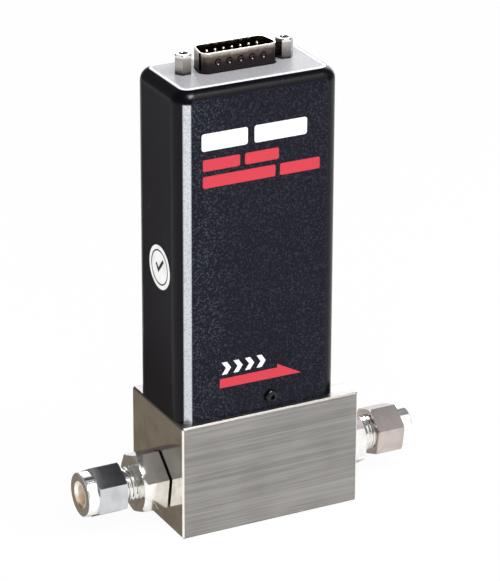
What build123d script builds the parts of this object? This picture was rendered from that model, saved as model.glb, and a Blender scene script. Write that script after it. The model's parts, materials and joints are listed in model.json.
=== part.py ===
"""Thermal mass flow controller for gas lines.

A stainless flow block carries a tube fitting at each end, a laminar bypass, a
capillary sensor and a solenoid control valve.  A drawn black cover closes over
the electronics, and a 15-way D connector stands out of its top.

Frame: millimetres, +Z up.  The origin is the middle of the block's underside,
gas flows along +X, and the front of the cover faces -Y.
"""
import os
from math import cos, radians, sin, tan

from build123d import *

# ---------------------------------------------------------------- flow block
block_length = 60.0
block_depth = 35.2
block_height = 37.0
block_chamfer = 0.5
flow_axis_height = 13.2

mount_hole_radius = 1.65
mount_hole_depth = 7.0
mount_spacing_x = 44.0
mount_spacing_y = 24.0

running_gap = 0.05  # radial clearance between turned parts that slide together
thread_gap = 0.05  # radial clearance between a thread's two smooth cylinders
lead_in = 0.6  # chamfer on a turned part's leading end
overrun = 1.0  # how far a cutting shape passes the face that it cuts

# ---------------------------------------------------------------- tube and fittings
tube_radius = 3.175
tube_gap = 0.05
body_hex_flats = 17.46
body_hex_length = 7.9
body_face_gap = 0.5  # between the hexagon and the block
body_bore_radius = 2.4
stem_radius = 7.14
stem_length = 10.3
stem_tip_gap = 0.3  # stem's end to the filter disc
undercut_radius = 6.0
neck_radius = 5.55
neck_root_radius = 5.0  # bottom of the thread, where the nut leaves it open
neck_length = 11.9
socket_depth = 8.0
ferrule_mouth_depth = 2.4
ferrule_mouth_radius = 4.3
nut_hex_flats = 14.29
nut_length = 12.7
nut_collar_length = 3.5
nut_collar_radius = 6.9
nut_collar_round = 0.3
nut_start = 13.4  # block face to the nut's inner end
nut_thread_length = 8.2
nut_cavity_radius = 4.75
nut_shoulder_length = 1.9  # solid collar behind the back ferrule
nut_mouth_chamfer = 0.8
ferrule_wall = 0.35
front_ferrule_nose = 1.8  # length that reaches into the body's mouth
front_ferrule_length = 3.8
front_ferrule_radius = 4.55
back_ferrule_radius = 4.4
back_ferrule_nose = 0.5
hex_chamfer_angle = 30.0
hex_corner_trim = 1.3  # radius turned off a hexagon's corners at its end face
nut_corner_trim = 0.45
crosswise_turn = 30.0  # puts a hexagon's corners on +Y and -Y
inlet_nut_turn = 0.0
inlet_body_turn = -10.0
outlet_nut_turn = 10.0
outlet_body_turn = -5.0

port_ring_inner_radius = 6.05
port_ring_section = 0.98
port_ring_gap = 0.06  # round the ring and over it

# ---------------------------------------------------------------- flow path
filter_thickness = 1.2
filter_radius = 6.9
bypass_bore_radius = 5.0
bypass_bore_end = 2.0  # X where the wide drilling ends
bypass_length = 9.0
bypass_slots = 12
bypass_slot_width = 0.7
bypass_slot_depth = 1.6
bypass_shoulder = 0.8
retainer_thickness = 0.8
retainer_depth = 0.35  # how deep the ring sits in its groove
retainer_width = 1.0
retainer_mouth = 3.0
link_radius = 1.1
feed_radius = 0.9
outlet_bore_radius = 2.4

# ---------------------------------------------------------------- sensor
sensor_x = -9.0
tap_spacing = 13.0
tap_radius = 0.8
sensor_base_length = 21.0
sensor_base_depth = 11.0
sensor_base_height = 6.0
sensor_base_chamfer = 0.4
capillary_radius = 0.5
capillary_bore = 0.3
capillary_rise = 14.0
capillary_bend = 2.0
capillary_gap = 0.025  # round the tube, in the base and in the windings
winding_radius = 1.25
winding_length = 3.6
winding_spacing = 4.4
sensor_cover_wall = 0.8
sensor_cover_height = 18.5
sensor_cover_margin = 0.7
sensor_cover_round = 1.0
sensor_ring_radius = 1.5
sensor_ring_section = 0.6
sensor_screw_radius = 1.2
sensor_screw_head_radius = 1.8
sensor_screw_head_height = 1.6
sensor_screw_pitch = 7.2
sensor_screw_length = 8.0
sensor_cover_rest = 0.4  # head's top to the base's top
socket_key_share = 0.8  # a socket's corner radius against its screw's radius

# ---------------------------------------------------------------- control valve
valve_x = 13.0
pocket_radius = 5.6
pocket_depth = 9.0
orifice_flange_radius = 3.4
orifice_flange_height = 1.5
orifice_spigot_radius = 2.4
orifice_spigot_length = 4.0
orifice_bore = 0.5
orifice_lip_outer = 1.4
orifice_lip_inner = 0.8
orifice_lip_height = 0.5
feed_offset = 4.55
guide_flange_flats = 15.0
guide_flange_height = 3.0
guide_spigot_length = 3.0
guide_tube_radius = 4.6
guide_tube_bore = 3.8
valve_ring_radius = 5.0
valve_ring_section = 0.56
plunger_length = 17.5
plunger_seal_radius = 2.4
plunger_seal_height = 1.4
plunger_seal_proud = 0.3
plunger_travel = 0.35
pole_gap = 0.1  # air left between plunger and pole piece at full lift
spring_radius = 1.45
spring_wire = 0.22
spring_turns = 6
spring_seat_radius = 2.0
spring_seat_depth = 5.5
pole_recess_depth = 3.0
bobbin_wall = 0.6
bobbin_flange_radius = 7.4
bobbin_flange_height = 0.9
bobbin_height = 24.0
winding_margin = 0.35
yoke_width = 12.5
yoke_thickness = 1.3
yoke_side_gap = 0.25
valve_stud_radius = 3.0
valve_stud_length = 4.6
valve_nut_flats = 9.0
valve_nut_height = 3.0

# ---------------------------------------------------------------- cover
cover_left_ledge = 0.2  # block's end to the cover
cover_right_ledge = 6.2
cover_front_ledge = 2.1
cover_back_ledge = 2.9
cover_rise = 105.5  # above the block
cover_wall = 1.0
cover_corner_radius = 5.5
cover_edge_radius = 4.0
cover_screw_x = 0.9
cover_screw_rise = 3.8  # above the block's top
cover_screw_radius = 1.2
cover_screw_length = 4.2
cover_screw_head_radius = 2.15
cover_screw_head_height = 1.1
cover_screw_head_round = 0.66
cover_screw_recess = 0.7
cover_screw_key = 1.5
cover_screw_gap = 0.1  # round its shank, in the cover

lug_width = 8.0
lug_depth = 5.0
lug_height = 7.0
lug_foot_length = 8.0
lug_foot_height = 2.0

# ---------------------------------------------------------------- bracket and boards
bracket_thickness = 1.2
bracket_top = 114.0
bracket_edge_gap = 0.3  # to the cover's bend at one end, the valve at the other
bracket_foot_gap = 0.4  # to the sensor
small_screw_radius = 1.0
small_screw_head_radius = 1.9
small_screw_head_height = 1.3
small_screw_length = 6.0
bracket_screw_inset = 4.0
board_thickness = 1.6
board_left = -27.0
board_right = 21.0
board_bottom = 76.0
board_gap = 1.3  # spacer between the board and the bracket
spacer_radius = 2.2
spacer_inset_x = 7.0
spacer_low = 82.0
spacer_high = 108.0
link_board_length = 42.0
link_board_depth = 15.0
link_board_thickness = 1.6
header_length = 26.0
header_height = 2.5
header_depth = 2.5
trimmer_width = 4.8
trimmer_height = 9.5
trimmer_depth = 6.0
trimmer_count = 3
trimmer_pitch = 8.0
trimmer_rise = 4.0  # above the upper spacers
trimmer_screw_radius = 1.1
trimmer_screw_height = 0.5
trimmer_slot_width = 0.5
trimmer_slot_depth = 0.25
chip_depth = 1.6
chip_inset_x = 5.0  # the corner chip's middle from the board's edges
chip_inset_z = 17.0
chip_rise = 8.0  # the small chip's middle above the lower spacers
wide_chip_rise = 16.0  # middles of the other two above the board's bottom
tall_chip_rise = 36.0
corner_chip_size = (6.0, 9.0)
small_chip_size = (6.0, 8.0)
wide_chip_size = (10.0, 10.0)
tall_chip_size = (7.0, 12.0)
capacitor_radius = 2.6
capacitor_length = 7.0
capacitor_crimp = 0.35
capacitor_crimp_width = 0.7
capacitor_crimp_rise = 1.4  # above the board
capacitor_offset = 6.0  # from the lower spacers

# ---------------------------------------------------------------- D connector
connector_x = -3.4
connector_y = 1.2
shell_width = 26.0
shell_depth = 9.0
shell_slant = 10.0
shell_corner = 2.5
shell_wall = 0.45
shell_rise = 6.3  # above the cover
shell_round = 0.2
shell_cutout_gap = 0.25
rear_shell_height = 4.6
flange_end_margin = 2.94  # screw hole to the flange's end
flange_depth = 12.5
flange_thickness = 0.8
flange_corner = 2.5
dimple_count = 5
dimple_pitch = 3.75
dimple_radius = 1.1
dimple_depth = 0.6
dimple_rise = 3.3
insulator_gap = 0.1
insulator_recess = 5.8  # rim down to the insulator's face
pin_radius = 0.5
pin_tip_round = 0.4
pin_tail = 1.0  # below the link board
pin_tip_recess = 0.9
pin_pitch = 2.77
pin_row_spacing = 2.84
pin_gap = 0.03
pin_columns = 8
jackscrew_spacing = 33.32
jackscrew_flats = 4.76
jackscrew_rise = 6.2
jackscrew_chamfer_angle = 50.0
jackscrew_countersink = 0.35
jackscrew_left_turn = 2.0
jackscrew_right_turn = -10.0
jackscrew_thread_radius = 1.2
jackscrew_thread_depth = 5.0
jackscrew_shank_radius = 1.4
jackscrew_shank_length = 5.4
jackscrew_hole_gap = 0.1
jackscrew_nut_flats = 5.5
jackscrew_nut_height = 2.2

# ---------------------------------------------------------------- derived places
half_length = block_length / 2
port_depth = stem_length - body_face_gap + stem_tip_gap + filter_thickness
port_bore_radius = stem_radius + thread_gap
port_mouth_radius = port_ring_inner_radius + 2 * port_ring_section + port_ring_gap
port_mouth_depth = 2 * port_ring_section + port_ring_gap - body_face_gap
undercut_end = -port_mouth_depth
tube_hole_radius = tube_radius + tube_gap
body_hex_end = body_face_gap + body_hex_length
neck_end = body_hex_end + neck_length
nut_end = nut_start + nut_length
nut_hex_end = nut_end - nut_collar_length
nut_shoulder = nut_end - nut_shoulder_length
front_ferrule_start = neck_end - front_ferrule_nose
front_ferrule_end = front_ferrule_start + front_ferrule_length

bypass_start = -half_length + port_depth
tap_xs = (sensor_x - tap_spacing / 2, sensor_x + tap_spacing / 2)
bypass_element_end = tap_xs[1] - tap_radius - bypass_shoulder
bypass_element_start = bypass_element_end - bypass_length
retainer_end = bypass_element_start
narrow_bore_radius = bypass_bore_radius - bypass_shoulder

sensor_base_top = block_height + sensor_base_height
pocket_floor = block_height - pocket_depth
feed_x = valve_x - feed_offset
seat_top = pocket_floor + orifice_flange_height + orifice_lip_height
plunger_bottom = seat_top + plunger_seal_proud
plunger_top = plunger_bottom + plunger_length
plunger_radius = guide_tube_bore - running_gap
pole_bottom = plunger_top + plunger_travel + pole_gap
pole_radius = guide_tube_bore - running_gap
guide_bottom = block_height - guide_spigot_length
guide_flange_top = block_height + guide_flange_height
bobbin_bottom = guide_flange_top + yoke_thickness
bobbin_top = bobbin_bottom + bobbin_height
yoke_top = bobbin_top + yoke_thickness
bobbin_bore = guide_tube_radius + running_gap
spring_bottom = plunger_top - spring_seat_depth
spring_top = pole_bottom + pole_recess_depth

cover_left = -half_length + cover_left_ledge
cover_right = half_length - cover_right_ledge
cover_front = -block_depth / 2 + cover_front_ledge
cover_back = block_depth / 2 - cover_back_ledge
cover_top = block_height + cover_rise
cover_inner_front = cover_front + cover_wall
cover_inner_back = cover_back - cover_wall
cover_inner_top = cover_top - cover_wall
cover_screw_height = block_height + cover_screw_rise
bracket_front = cover_inner_back - bracket_thickness
bracket_left = cover_left + cover_corner_radius + bracket_edge_gap
bracket_right = valve_x - guide_flange_flats / 2 - bracket_edge_gap
bracket_foot_front = sensor_base_depth / 2 + bracket_foot_gap
board_back = bracket_front - board_gap
board_front = board_back - board_thickness
flange_length = jackscrew_spacing + 2 * flange_end_margin
flange_bottom = cover_inner_top - flange_thickness
rear_shell_bottom = flange_bottom - rear_shell_height
link_board_top = rear_shell_bottom
link_board_bottom = link_board_top - link_board_thickness
board_top = link_board_bottom
shell_top = cover_top + shell_rise
insulator_top = shell_top - insulator_recess
pin_tip = shell_top - pin_tip_recess
pin_bottom = link_board_bottom - pin_tail
jackscrew_xs = (connector_x - jackscrew_spacing / 2, connector_x + jackscrew_spacing / 2)

bottom_up = (Align.CENTER, Align.CENTER, Align.MIN)


# ---------------------------------------------------------------- small helpers
def rod(radius, low, high, x=0.0, y=0.0):
    """A cylinder along Z between two heights."""
    return Pos(x, y, low) * Cylinder(radius, high - low, align=bottom_up)


def tube(outer, inner, low, high, x=0.0, y=0.0):
    """A hollow cylinder along Z between two heights."""
    return rod(outer, low, high, x, y) - rod(inner, low - overrun, high + overrun, x, y)


def rod_along_x(radius, start, end, y=0.0, z=0.0):
    """A cylinder along X."""
    return Pos(start, y, z) * Rot(0, 90, 0) * Cylinder(radius, end - start, align=bottom_up)


def rod_along_y(radius, start, end, x=0.0, z=0.0):
    """A cylinder along Y, from the smaller Y to the larger."""
    return Pos(x, start, z) * Rot(-90, 0, 0) * Cylinder(radius, end - start, align=bottom_up)


def block(x_range, y_range, z_range):
    """A box between the given limits."""
    size = [high - low for low, high in (x_range, y_range, z_range)]
    middle = [(high + low) / 2 for low, high in (x_range, y_range, z_range)]
    return Pos(*middle) * Box(*size)


def hexagon(flats, low, high, turn=0.0):
    """A hexagonal prism along Z, with one corner at the given turn from +X."""
    outline = RegularPolygon(flats / 2, 6, major_radius=False, rotation=turn)
    return Pos(0, 0, low) * extrude(outline, high - low)


def turned(*points):
    """A solid of revolution about Z from (radius, height) points."""
    outline = Polyline(*[(radius, 0, height) for radius, height in points], close=True)
    return revolve(make_face(outline), Axis.Z)


def chamfered_hexagon(flats, low, high, turn, trim, ends="high", angle=hex_chamfer_angle):
    """A hexagon whose corners are turned down at its high end or at both, as on a nut."""
    corner = flats / 2 / cos(radians(30))
    face = corner - trim
    reach = corner + overrun
    rise = (reach - face) * tan(radians(angle))
    chamfer_low = ends in ("low", "both")
    chamfer_high = ends in ("high", "both")
    low_points = [(face, low), (reach, low + rise)] if chamfer_low else [(reach, low)]
    high_points = [(reach, high - rise), (face, high)] if chamfer_high else [(reach, high)]
    envelope = turned((0, low), *low_points, *high_points, (0, high))
    return hexagon(flats, low, high, turn) & envelope


def o_ring(radius, section, height, x=0.0, y=0.0):
    """A rubber ring lying flat."""
    return Pos(x, y, height) * Torus(radius, section)


def at_inlet(shape):
    """Place a fitting part, built outwards along +Z, at the block's -X face."""
    return Pos(-half_length, 0, flow_axis_height) * Rot(0, -90, 0) * shape


def at_outlet(shape):
    """Place a fitting part, built outwards along +Z, at the block's +X face."""
    return Pos(half_length, 0, flow_axis_height) * Rot(0, 90, 0) * shape


# ---------------------------------------------------------------- flow block
def make_base_block():
    """The machined block with its ports, drillings, valve pocket and fixings."""
    body = Pos(0, 0, block_height / 2) * Box(block_length, block_depth, block_height)
    body = chamfer(body.edges(), block_chamfer)
    axis = flow_axis_height
    for side in (at_inlet, at_outlet):
        body -= side(rod(port_bore_radius, -port_depth, overrun))
        body -= side(rod(port_mouth_radius, -port_mouth_depth, overrun))
    body -= rod_along_x(bypass_bore_radius, bypass_start - overrun, bypass_element_end, z=axis)
    body -= rod_along_x(narrow_bore_radius, bypass_element_end, bypass_bore_end, z=axis)
    groove_radius = bypass_bore_radius + retainer_depth + running_gap
    groove_start = retainer_end - retainer_thickness - running_gap
    body -= rod_along_x(groove_radius, groove_start, retainer_end, z=axis)
    body -= rod_along_x(link_radius, bypass_bore_end - overrun, feed_x + feed_radius, z=axis)
    body -= rod(feed_radius, axis, pocket_floor + overrun, feed_x)
    body -= rod(pocket_radius, pocket_floor, block_height + overrun, valve_x)
    spigot_end = pocket_floor - orifice_spigot_length
    body -= rod(orifice_spigot_radius + running_gap, spigot_end, pocket_floor + overrun, valve_x)
    body -= rod(link_radius, axis, pocket_floor, valve_x)
    outlet_bore_end = half_length - port_depth + overrun
    body -= rod_along_x(outlet_bore_radius, valve_x - link_radius, outlet_bore_end, z=axis)
    above = block_height + overrun
    for x in tap_xs:
        body -= rod(tap_radius, axis, above, x)
        ring_hole_radius = sensor_ring_radius + sensor_ring_section + running_gap
        body -= rod(ring_hole_radius, block_height - 2 * sensor_ring_section, above, x)
    sensor_screw_floor = block_height - sensor_screw_length
    for y in (-sensor_screw_pitch / 2, sensor_screw_pitch / 2):
        body -= rod(sensor_screw_radius + thread_gap, sensor_screw_floor, above, sensor_x, y)
    small_screw_floor = block_height - small_screw_length
    for x, y in foot_screw_places():
        body -= rod(small_screw_radius + thread_gap, small_screw_floor, above, x, y)
    for x in (-mount_spacing_x / 2, mount_spacing_x / 2):
        for y in (-mount_spacing_y / 2, mount_spacing_y / 2):
            body -= rod(mount_hole_radius, -overrun, mount_hole_depth, x, y)
    return body


def foot_screw_places():
    """Where the bracket and the front lug are screwed to the block."""
    bracket_y = (bracket_front + bracket_foot_front) / 2
    lug_x = cover_screw_x - lug_width / 2 - lug_foot_length / 2
    return [
        (bracket_left + bracket_screw_inset, bracket_y),
        (bracket_right - bracket_screw_inset, bracket_y),
        (lug_x, cover_inner_front + lug_depth / 2),
    ]


# ---------------------------------------------------------------- tube fittings
def make_fitting_body(turn):
    """The union body: sealing stem, hexagon, threaded neck and tube socket."""
    hexagon_part = chamfered_hexagon(body_hex_flats, body_face_gap, body_hex_end, turn, hex_corner_trim)
    stem_start = body_face_gap - stem_length
    outer = turned(
        (0, stem_start),
        (stem_radius - lead_in, stem_start),
        (stem_radius, stem_start + lead_in),
        (stem_radius, undercut_end),
        (undercut_radius, undercut_end),
        (undercut_radius, body_face_gap),
        (neck_root_radius, body_face_gap),
        (neck_root_radius, nut_start),
        (neck_radius, nut_start),
        (neck_radius, neck_end - lead_in),
        (neck_radius - lead_in, neck_end),
        (0, neck_end),
    )
    socket_floor = neck_end - socket_depth
    bore = turned(
        (0, stem_start - overrun),
        (body_bore_radius, stem_start - overrun),
        (body_bore_radius, socket_floor),
        (tube_hole_radius, socket_floor),
        (tube_hole_radius, neck_end - ferrule_mouth_depth),
        (ferrule_mouth_radius, neck_end),
        (ferrule_mouth_radius, neck_end + overrun),
        (0, neck_end + overrun),
    )
    return hexagon_part + outer - bore


def make_nut(turn):
    """The coupling nut: chamfered hexagon, round collar and stepped bore."""
    hexagon_part = chamfered_hexagon(nut_hex_flats, nut_start, nut_hex_end, turn, nut_corner_trim, "both")
    collar = rod(nut_collar_radius, nut_hex_end - overrun, nut_end)
    rim = collar.edges().filter_by(GeomType.CIRCLE).sort_by(Axis.Z)[-1]
    collar = fillet(rim, nut_collar_round)
    thread_end = nut_start + nut_thread_length
    thread_radius = neck_radius + thread_gap
    bore = turned(
        (0, nut_start - overrun),
        (thread_radius, nut_start - overrun),
        (thread_radius, thread_end),
        (nut_cavity_radius, thread_end + thread_radius - nut_cavity_radius),
        (nut_cavity_radius, nut_shoulder),
        (tube_hole_radius, nut_shoulder),
        (tube_hole_radius, nut_end - nut_mouth_chamfer),
        (tube_hole_radius + nut_mouth_chamfer, nut_end),
        (tube_hole_radius + nut_mouth_chamfer, nut_end + overrun),
        (0, nut_end + overrun),
    )
    return hexagon_part + collar - bore


def make_front_ferrule():
    """The coned ring that seals in the body's mouth."""
    slope = (ferrule_mouth_radius - tube_hole_radius) / ferrule_mouth_depth
    start_depth = ferrule_mouth_depth - front_ferrule_nose
    nose_radius = tube_hole_radius + slope * start_depth - running_gap
    mouth_radius = ferrule_mouth_radius - running_gap
    recess = back_ferrule_nose
    return turned(
        (tube_hole_radius, front_ferrule_start),
        (nose_radius, front_ferrule_start),
        (mouth_radius, neck_end),
        (front_ferrule_radius, neck_end + ferrule_wall),
        (front_ferrule_radius, front_ferrule_end),
        (tube_hole_radius + recess, front_ferrule_end),
        (tube_hole_radius, front_ferrule_end - recess),
    )


def make_back_ferrule():
    """The driving ring between the front ferrule and the nut's shoulder."""
    nose = back_ferrule_nose
    return turned(
        (tube_hole_radius, front_ferrule_end - nose),
        (tube_hole_radius + nose, front_ferrule_end),
        (back_ferrule_radius, front_ferrule_end),
        (back_ferrule_radius, nut_shoulder),
        (tube_hole_radius, nut_shoulder),
    )


def make_port_ring():
    """The rubber ring that seals a fitting's stem in the block's port."""
    middle = port_ring_section - port_mouth_depth
    return o_ring(port_ring_inner_radius + port_ring_section, port_ring_section, middle)


# ---------------------------------------------------------------- flow path
def make_inlet_filter():
    """The sintered disc at the bottom of the inlet port."""
    return rod(filter_radius, -port_depth, filter_thickness - port_depth)


def make_bypass_element():
    """The laminar bypass: a plug with narrow slots milled along it."""
    radius = bypass_bore_radius - running_gap
    middle = (bypass_element_start + bypass_element_end) / 2
    plug = rod_along_x(radius, bypass_element_start, bypass_element_end, z=flow_axis_height)
    for index in range(bypass_slots):
        slot = Pos(0, 0, radius) * Box(bypass_length + overrun, bypass_slot_width, 2 * bypass_slot_depth)
        plug -= Pos(middle, 0, flow_axis_height) * Rot(index * 360 / bypass_slots, 0, 0) * slot
    return plug


def make_bypass_retainer():
    """The open spring ring that holds the bypass against its shoulder."""
    outer = bypass_bore_radius + retainer_depth
    inner = outer - retainer_width - retainer_depth
    ring = tube(outer, inner, 0, retainer_thickness)
    mouth_height = 2 * (retainer_thickness + overrun)
    ring -= Pos(outer, 0, 0) * Box(2 * outer, retainer_mouth, mouth_height)
    return Pos(retainer_end, 0, flow_axis_height) * Rot(0, -90, 0) * ring


# ---------------------------------------------------------------- sensor
def make_sensor_base():
    """The block that carries the capillary tube over the two taps."""
    half_base = sensor_base_length / 2
    base = block(
        (sensor_x - half_base, sensor_x + half_base),
        (-sensor_base_depth / 2, sensor_base_depth / 2),
        (block_height, sensor_base_top),
    )
    base = chamfer(base.edges().filter_by(Axis.Z), sensor_base_chamfer)
    for x in tap_xs:
        base -= rod(capillary_radius + capillary_gap, block_height - overrun, sensor_base_top + overrun, x)
    below = block_height - overrun
    above = sensor_base_top + overrun
    head_floor = sensor_base_top - sensor_cover_rest - sensor_screw_head_height
    for y in (-sensor_screw_pitch / 2, sensor_screw_pitch / 2):
        base -= rod(sensor_screw_radius + running_gap, below, sensor_base_top, sensor_x, y)
        base -= rod(sensor_screw_head_radius + running_gap, head_floor, above, sensor_x, y)
    return base


def make_sensor_tube():
    """The fine capillary tube, bent to a square arch."""
    left, right = tap_xs
    top = sensor_base_top + capillary_rise
    path = FilletPolyline(
        (left, 0, block_height),
        (left, 0, top),
        (right, 0, top),
        (right, 0, block_height),
        radius=capillary_bend,
    )
    section = Plane(origin=(left, 0, block_height), z_dir=(0, 0, 1))
    ring = section * (Circle(capillary_radius) - Circle(capillary_bore))
    return sweep(ring, path=path)


def make_sensor_windings():
    """The two heater windings on the arch's crossbar."""
    height = sensor_base_top + capillary_rise
    windings = []
    for side in (-1, 1):
        middle = sensor_x + side * winding_spacing / 2
        start = middle - winding_length / 2
        end = middle + winding_length / 2
        solid = rod_along_x(winding_radius, start, end, z=height)
        hole_radius = capillary_radius + capillary_gap
        windings.append(solid - rod_along_x(hole_radius, start - overrun, end + overrun, z=height))
    return Compound(children=windings)


def make_sensor_cover():
    """The sensor's own cap, open underneath."""
    half_cap = sensor_base_length / 2 - sensor_cover_margin
    half_cap_depth = sensor_base_depth / 2 - sensor_cover_margin
    top = sensor_base_top + sensor_cover_height
    cap = block(
        (sensor_x - half_cap, sensor_x + half_cap),
        (-half_cap_depth, half_cap_depth),
        (sensor_base_top, top),
    )
    cap = fillet(cap.edges().filter_by(Axis.Z), sensor_cover_round)
    inside = block(
        (sensor_x - half_cap + sensor_cover_wall, sensor_x + half_cap - sensor_cover_wall),
        (-half_cap_depth + sensor_cover_wall, half_cap_depth - sensor_cover_wall),
        (sensor_base_top - overrun, top - sensor_cover_wall),
    )
    return cap - inside


def make_cap_screw(radius, head_radius, head_height, length, head_top):
    """A socket screw along Z, its head's top at the given height."""
    seat = head_top - head_height
    screw = rod(head_radius, seat, head_top) + rod(radius, seat - length, seat)
    key = RegularPolygon(radius * socket_key_share, 6)
    return screw - Pos(0, 0, head_top - head_height / 2) * extrude(key, head_height)


def make_sensor_screws():
    """The two screws that clamp the sensor base to the block."""
    head_top = sensor_base_top - sensor_cover_rest
    head_seat = head_top - sensor_screw_head_height
    length = head_seat - block_height + sensor_screw_length - running_gap
    screw = make_cap_screw(
        sensor_screw_radius, sensor_screw_head_radius, sensor_screw_head_height, length, head_top
    )
    places = [(sensor_x, y) for y in (-sensor_screw_pitch / 2, sensor_screw_pitch / 2)]
    return Compound(children=[Pos(x, y, 0) * screw for x, y in places])


def make_sensor_rings():
    """The two rings that seal the sensor base over the block's taps."""
    height = block_height - sensor_ring_section
    return Compound(children=[o_ring(sensor_ring_radius, sensor_ring_section, height, x) for x in tap_xs])


# ---------------------------------------------------------------- control valve
def make_valve_orifice():
    """The seat insert with its raised lip."""
    flange_top = pocket_floor + orifice_flange_height
    insert = turned(
        (orifice_bore, pocket_floor - orifice_spigot_length),
        (orifice_spigot_radius, pocket_floor - orifice_spigot_length),
        (orifice_spigot_radius, pocket_floor),
        (orifice_flange_radius, pocket_floor),
        (orifice_flange_radius, flange_top),
        (orifice_lip_outer, flange_top),
        (orifice_lip_inner, seat_top),
        (orifice_bore, seat_top),
    )
    return Pos(valve_x, 0, 0) * insert


def make_valve_guide_tube():
    """The thin tube that guides the plunger, with its hexagon flange."""
    flange = chamfered_hexagon(
        guide_flange_flats, block_height, guide_flange_top, crosswise_turn, hex_corner_trim
    )
    spigot_radius = pocket_radius - thread_gap
    body = flange + rod(spigot_radius, guide_bottom, block_height)
    body += rod(guide_tube_radius, block_height, yoke_top)
    body -= rod(guide_tube_bore, guide_bottom - overrun, yoke_top + overrun)
    groove_middle = valve_ring_height()
    groove_half = valve_ring_section + running_gap
    groove_radius = valve_ring_radius - valve_ring_section
    groove_range = (groove_middle - groove_half, groove_middle + groove_half)
    body -= tube(pocket_radius + overrun, groove_radius, *groove_range)
    return Pos(valve_x, 0, 0) * body


def valve_ring_height():
    """Middle height of the valve's sealing ring."""
    return block_height - guide_spigot_length / 2


def make_valve_ring():
    """The rubber ring round the guide tube's spigot."""
    return o_ring(valve_ring_radius, valve_ring_section, valve_ring_height(), valve_x)


def make_valve_plunger():
    """The soft-iron plunger, with a spring seat above and a seal recess below."""
    recess_top = plunger_bottom + plunger_seal_height - plunger_seal_proud
    body = turned(
        (plunger_seal_radius, plunger_bottom),
        (plunger_radius - lead_in, plunger_bottom),
        (plunger_radius, plunger_bottom + lead_in),
        (plunger_radius, plunger_top),
        (spring_seat_radius, plunger_top),
        (spring_seat_radius, spring_bottom),
        (0, spring_bottom),
        (0, recess_top),
        (plunger_seal_radius, recess_top),
    )
    return Pos(valve_x, 0, 0) * body


def make_plunger_seal():
    """The elastomer disc that closes on the seat's lip."""
    return rod(plunger_seal_radius, seat_top, seat_top + plunger_seal_height, valve_x)


def make_plunger_spring():
    """The closing spring between plunger and pole piece."""
    height = spring_top - spring_bottom - 2 * spring_wire
    pitch = height / spring_turns
    path = Helix(pitch, height, spring_radius)
    section = Plane(origin=path @ 0, z_dir=path % 0)
    coil = sweep(section * Circle(spring_wire), path=path, is_frenet=True)
    return Pos(valve_x, 0, spring_bottom + spring_wire) * coil


def make_pole_piece():
    """The fixed core that pulls the plunger, with the clamping stud on top."""
    body = turned(
        (0, spring_top),
        (spring_seat_radius, spring_top),
        (spring_seat_radius, pole_bottom),
        (pole_radius, pole_bottom),
        (pole_radius, yoke_top),
        (valve_stud_radius, yoke_top),
        (valve_stud_radius, yoke_top + valve_stud_length),
        (0, yoke_top + valve_stud_length),
    )
    return Pos(valve_x, 0, 0) * body


def make_coil_bobbin():
    """The moulded spool on the guide tube."""
    core = bobbin_bore + bobbin_wall
    body = turned(
        (bobbin_bore, bobbin_bottom),
        (bobbin_flange_radius, bobbin_bottom),
        (bobbin_flange_radius, bobbin_bottom + bobbin_flange_height),
        (core, bobbin_bottom + bobbin_flange_height),
        (core, bobbin_top - bobbin_flange_height),
        (bobbin_flange_radius, bobbin_top - bobbin_flange_height),
        (bobbin_flange_radius, bobbin_top),
        (bobbin_bore, bobbin_top),
    )
    return Pos(valve_x, 0, 0) * body


def make_coil_winding():
    """The copper winding as one ring between the spool's flanges."""
    return tube(
        bobbin_flange_radius - winding_margin,
        bobbin_bore + bobbin_wall,
        bobbin_bottom + bobbin_flange_height,
        bobbin_top - bobbin_flange_height,
        valve_x,
    )


def make_valve_yoke():
    """The folded steel frame that closes the magnetic path round the coil."""
    inner = bobbin_flange_radius + yoke_side_gap
    outer = inner + yoke_thickness
    x_range = (valve_x - yoke_width / 2, valve_x + yoke_width / 2)
    frame = block(x_range, (-outer, outer), (guide_flange_top, yoke_top))
    frame = fillet(frame.edges().filter_by(Axis.X), yoke_thickness)
    open_range = (x_range[0] - overrun, x_range[1] + overrun)
    frame -= block(open_range, (-inner, inner), (bobbin_bottom, bobbin_top))
    return frame - rod(bobbin_bore, guide_flange_top - overrun, yoke_top + overrun, valve_x)


def make_valve_nut():
    """The nut that clamps the yoke and coil to the guide tube."""
    top = yoke_top + valve_nut_height
    nut = chamfered_hexagon(valve_nut_flats, yoke_top, top, crosswise_turn, nut_corner_trim)
    nut -= rod(valve_stud_radius + thread_gap, yoke_top - overrun, top + overrun)
    return Pos(valve_x, 0, 0) * nut


# ---------------------------------------------------------------- cover and its fixings
def cover_outline(inset):
    """The cover's plan, drawn in by the given distance."""
    width = cover_right - cover_left - 2 * inset
    depth = cover_back - cover_front - 2 * inset
    middle = Pos((cover_left + cover_right) / 2, (cover_front + cover_back) / 2)
    return middle * RectangleRounded(width, depth, cover_corner_radius - inset)


def make_cover():
    """The drawn cover: closed top with large soft edges, open underneath."""
    body = Pos(0, 0, block_height) * extrude(cover_outline(0), cover_top - block_height)
    body = fillet(body.faces().sort_by(Axis.Z)[-1].edges(), cover_edge_radius)
    inside_height = cover_inner_top - block_height + overrun
    inside = Pos(0, 0, block_height - overrun) * extrude(cover_outline(cover_wall), inside_height)
    body -= fillet(inside.faces().sort_by(Axis.Z)[-1].edges(), cover_edge_radius - cover_wall)
    low = cover_inner_top - overrun
    high = cover_top + overrun
    body -= at_connector(extrude(connector_outline(shell_cutout_gap), high - low), low)
    for x in jackscrew_xs:
        body -= rod(jackscrew_shank_radius + jackscrew_hole_gap, low, high, x, connector_y)
    hole_radius = cover_screw_radius + cover_screw_gap
    for start, end in ((cover_front, cover_inner_front), (cover_inner_back, cover_back)):
        body -= rod_along_y(hole_radius, start - overrun, end + overrun, cover_screw_x, cover_screw_height)
    return body


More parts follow.
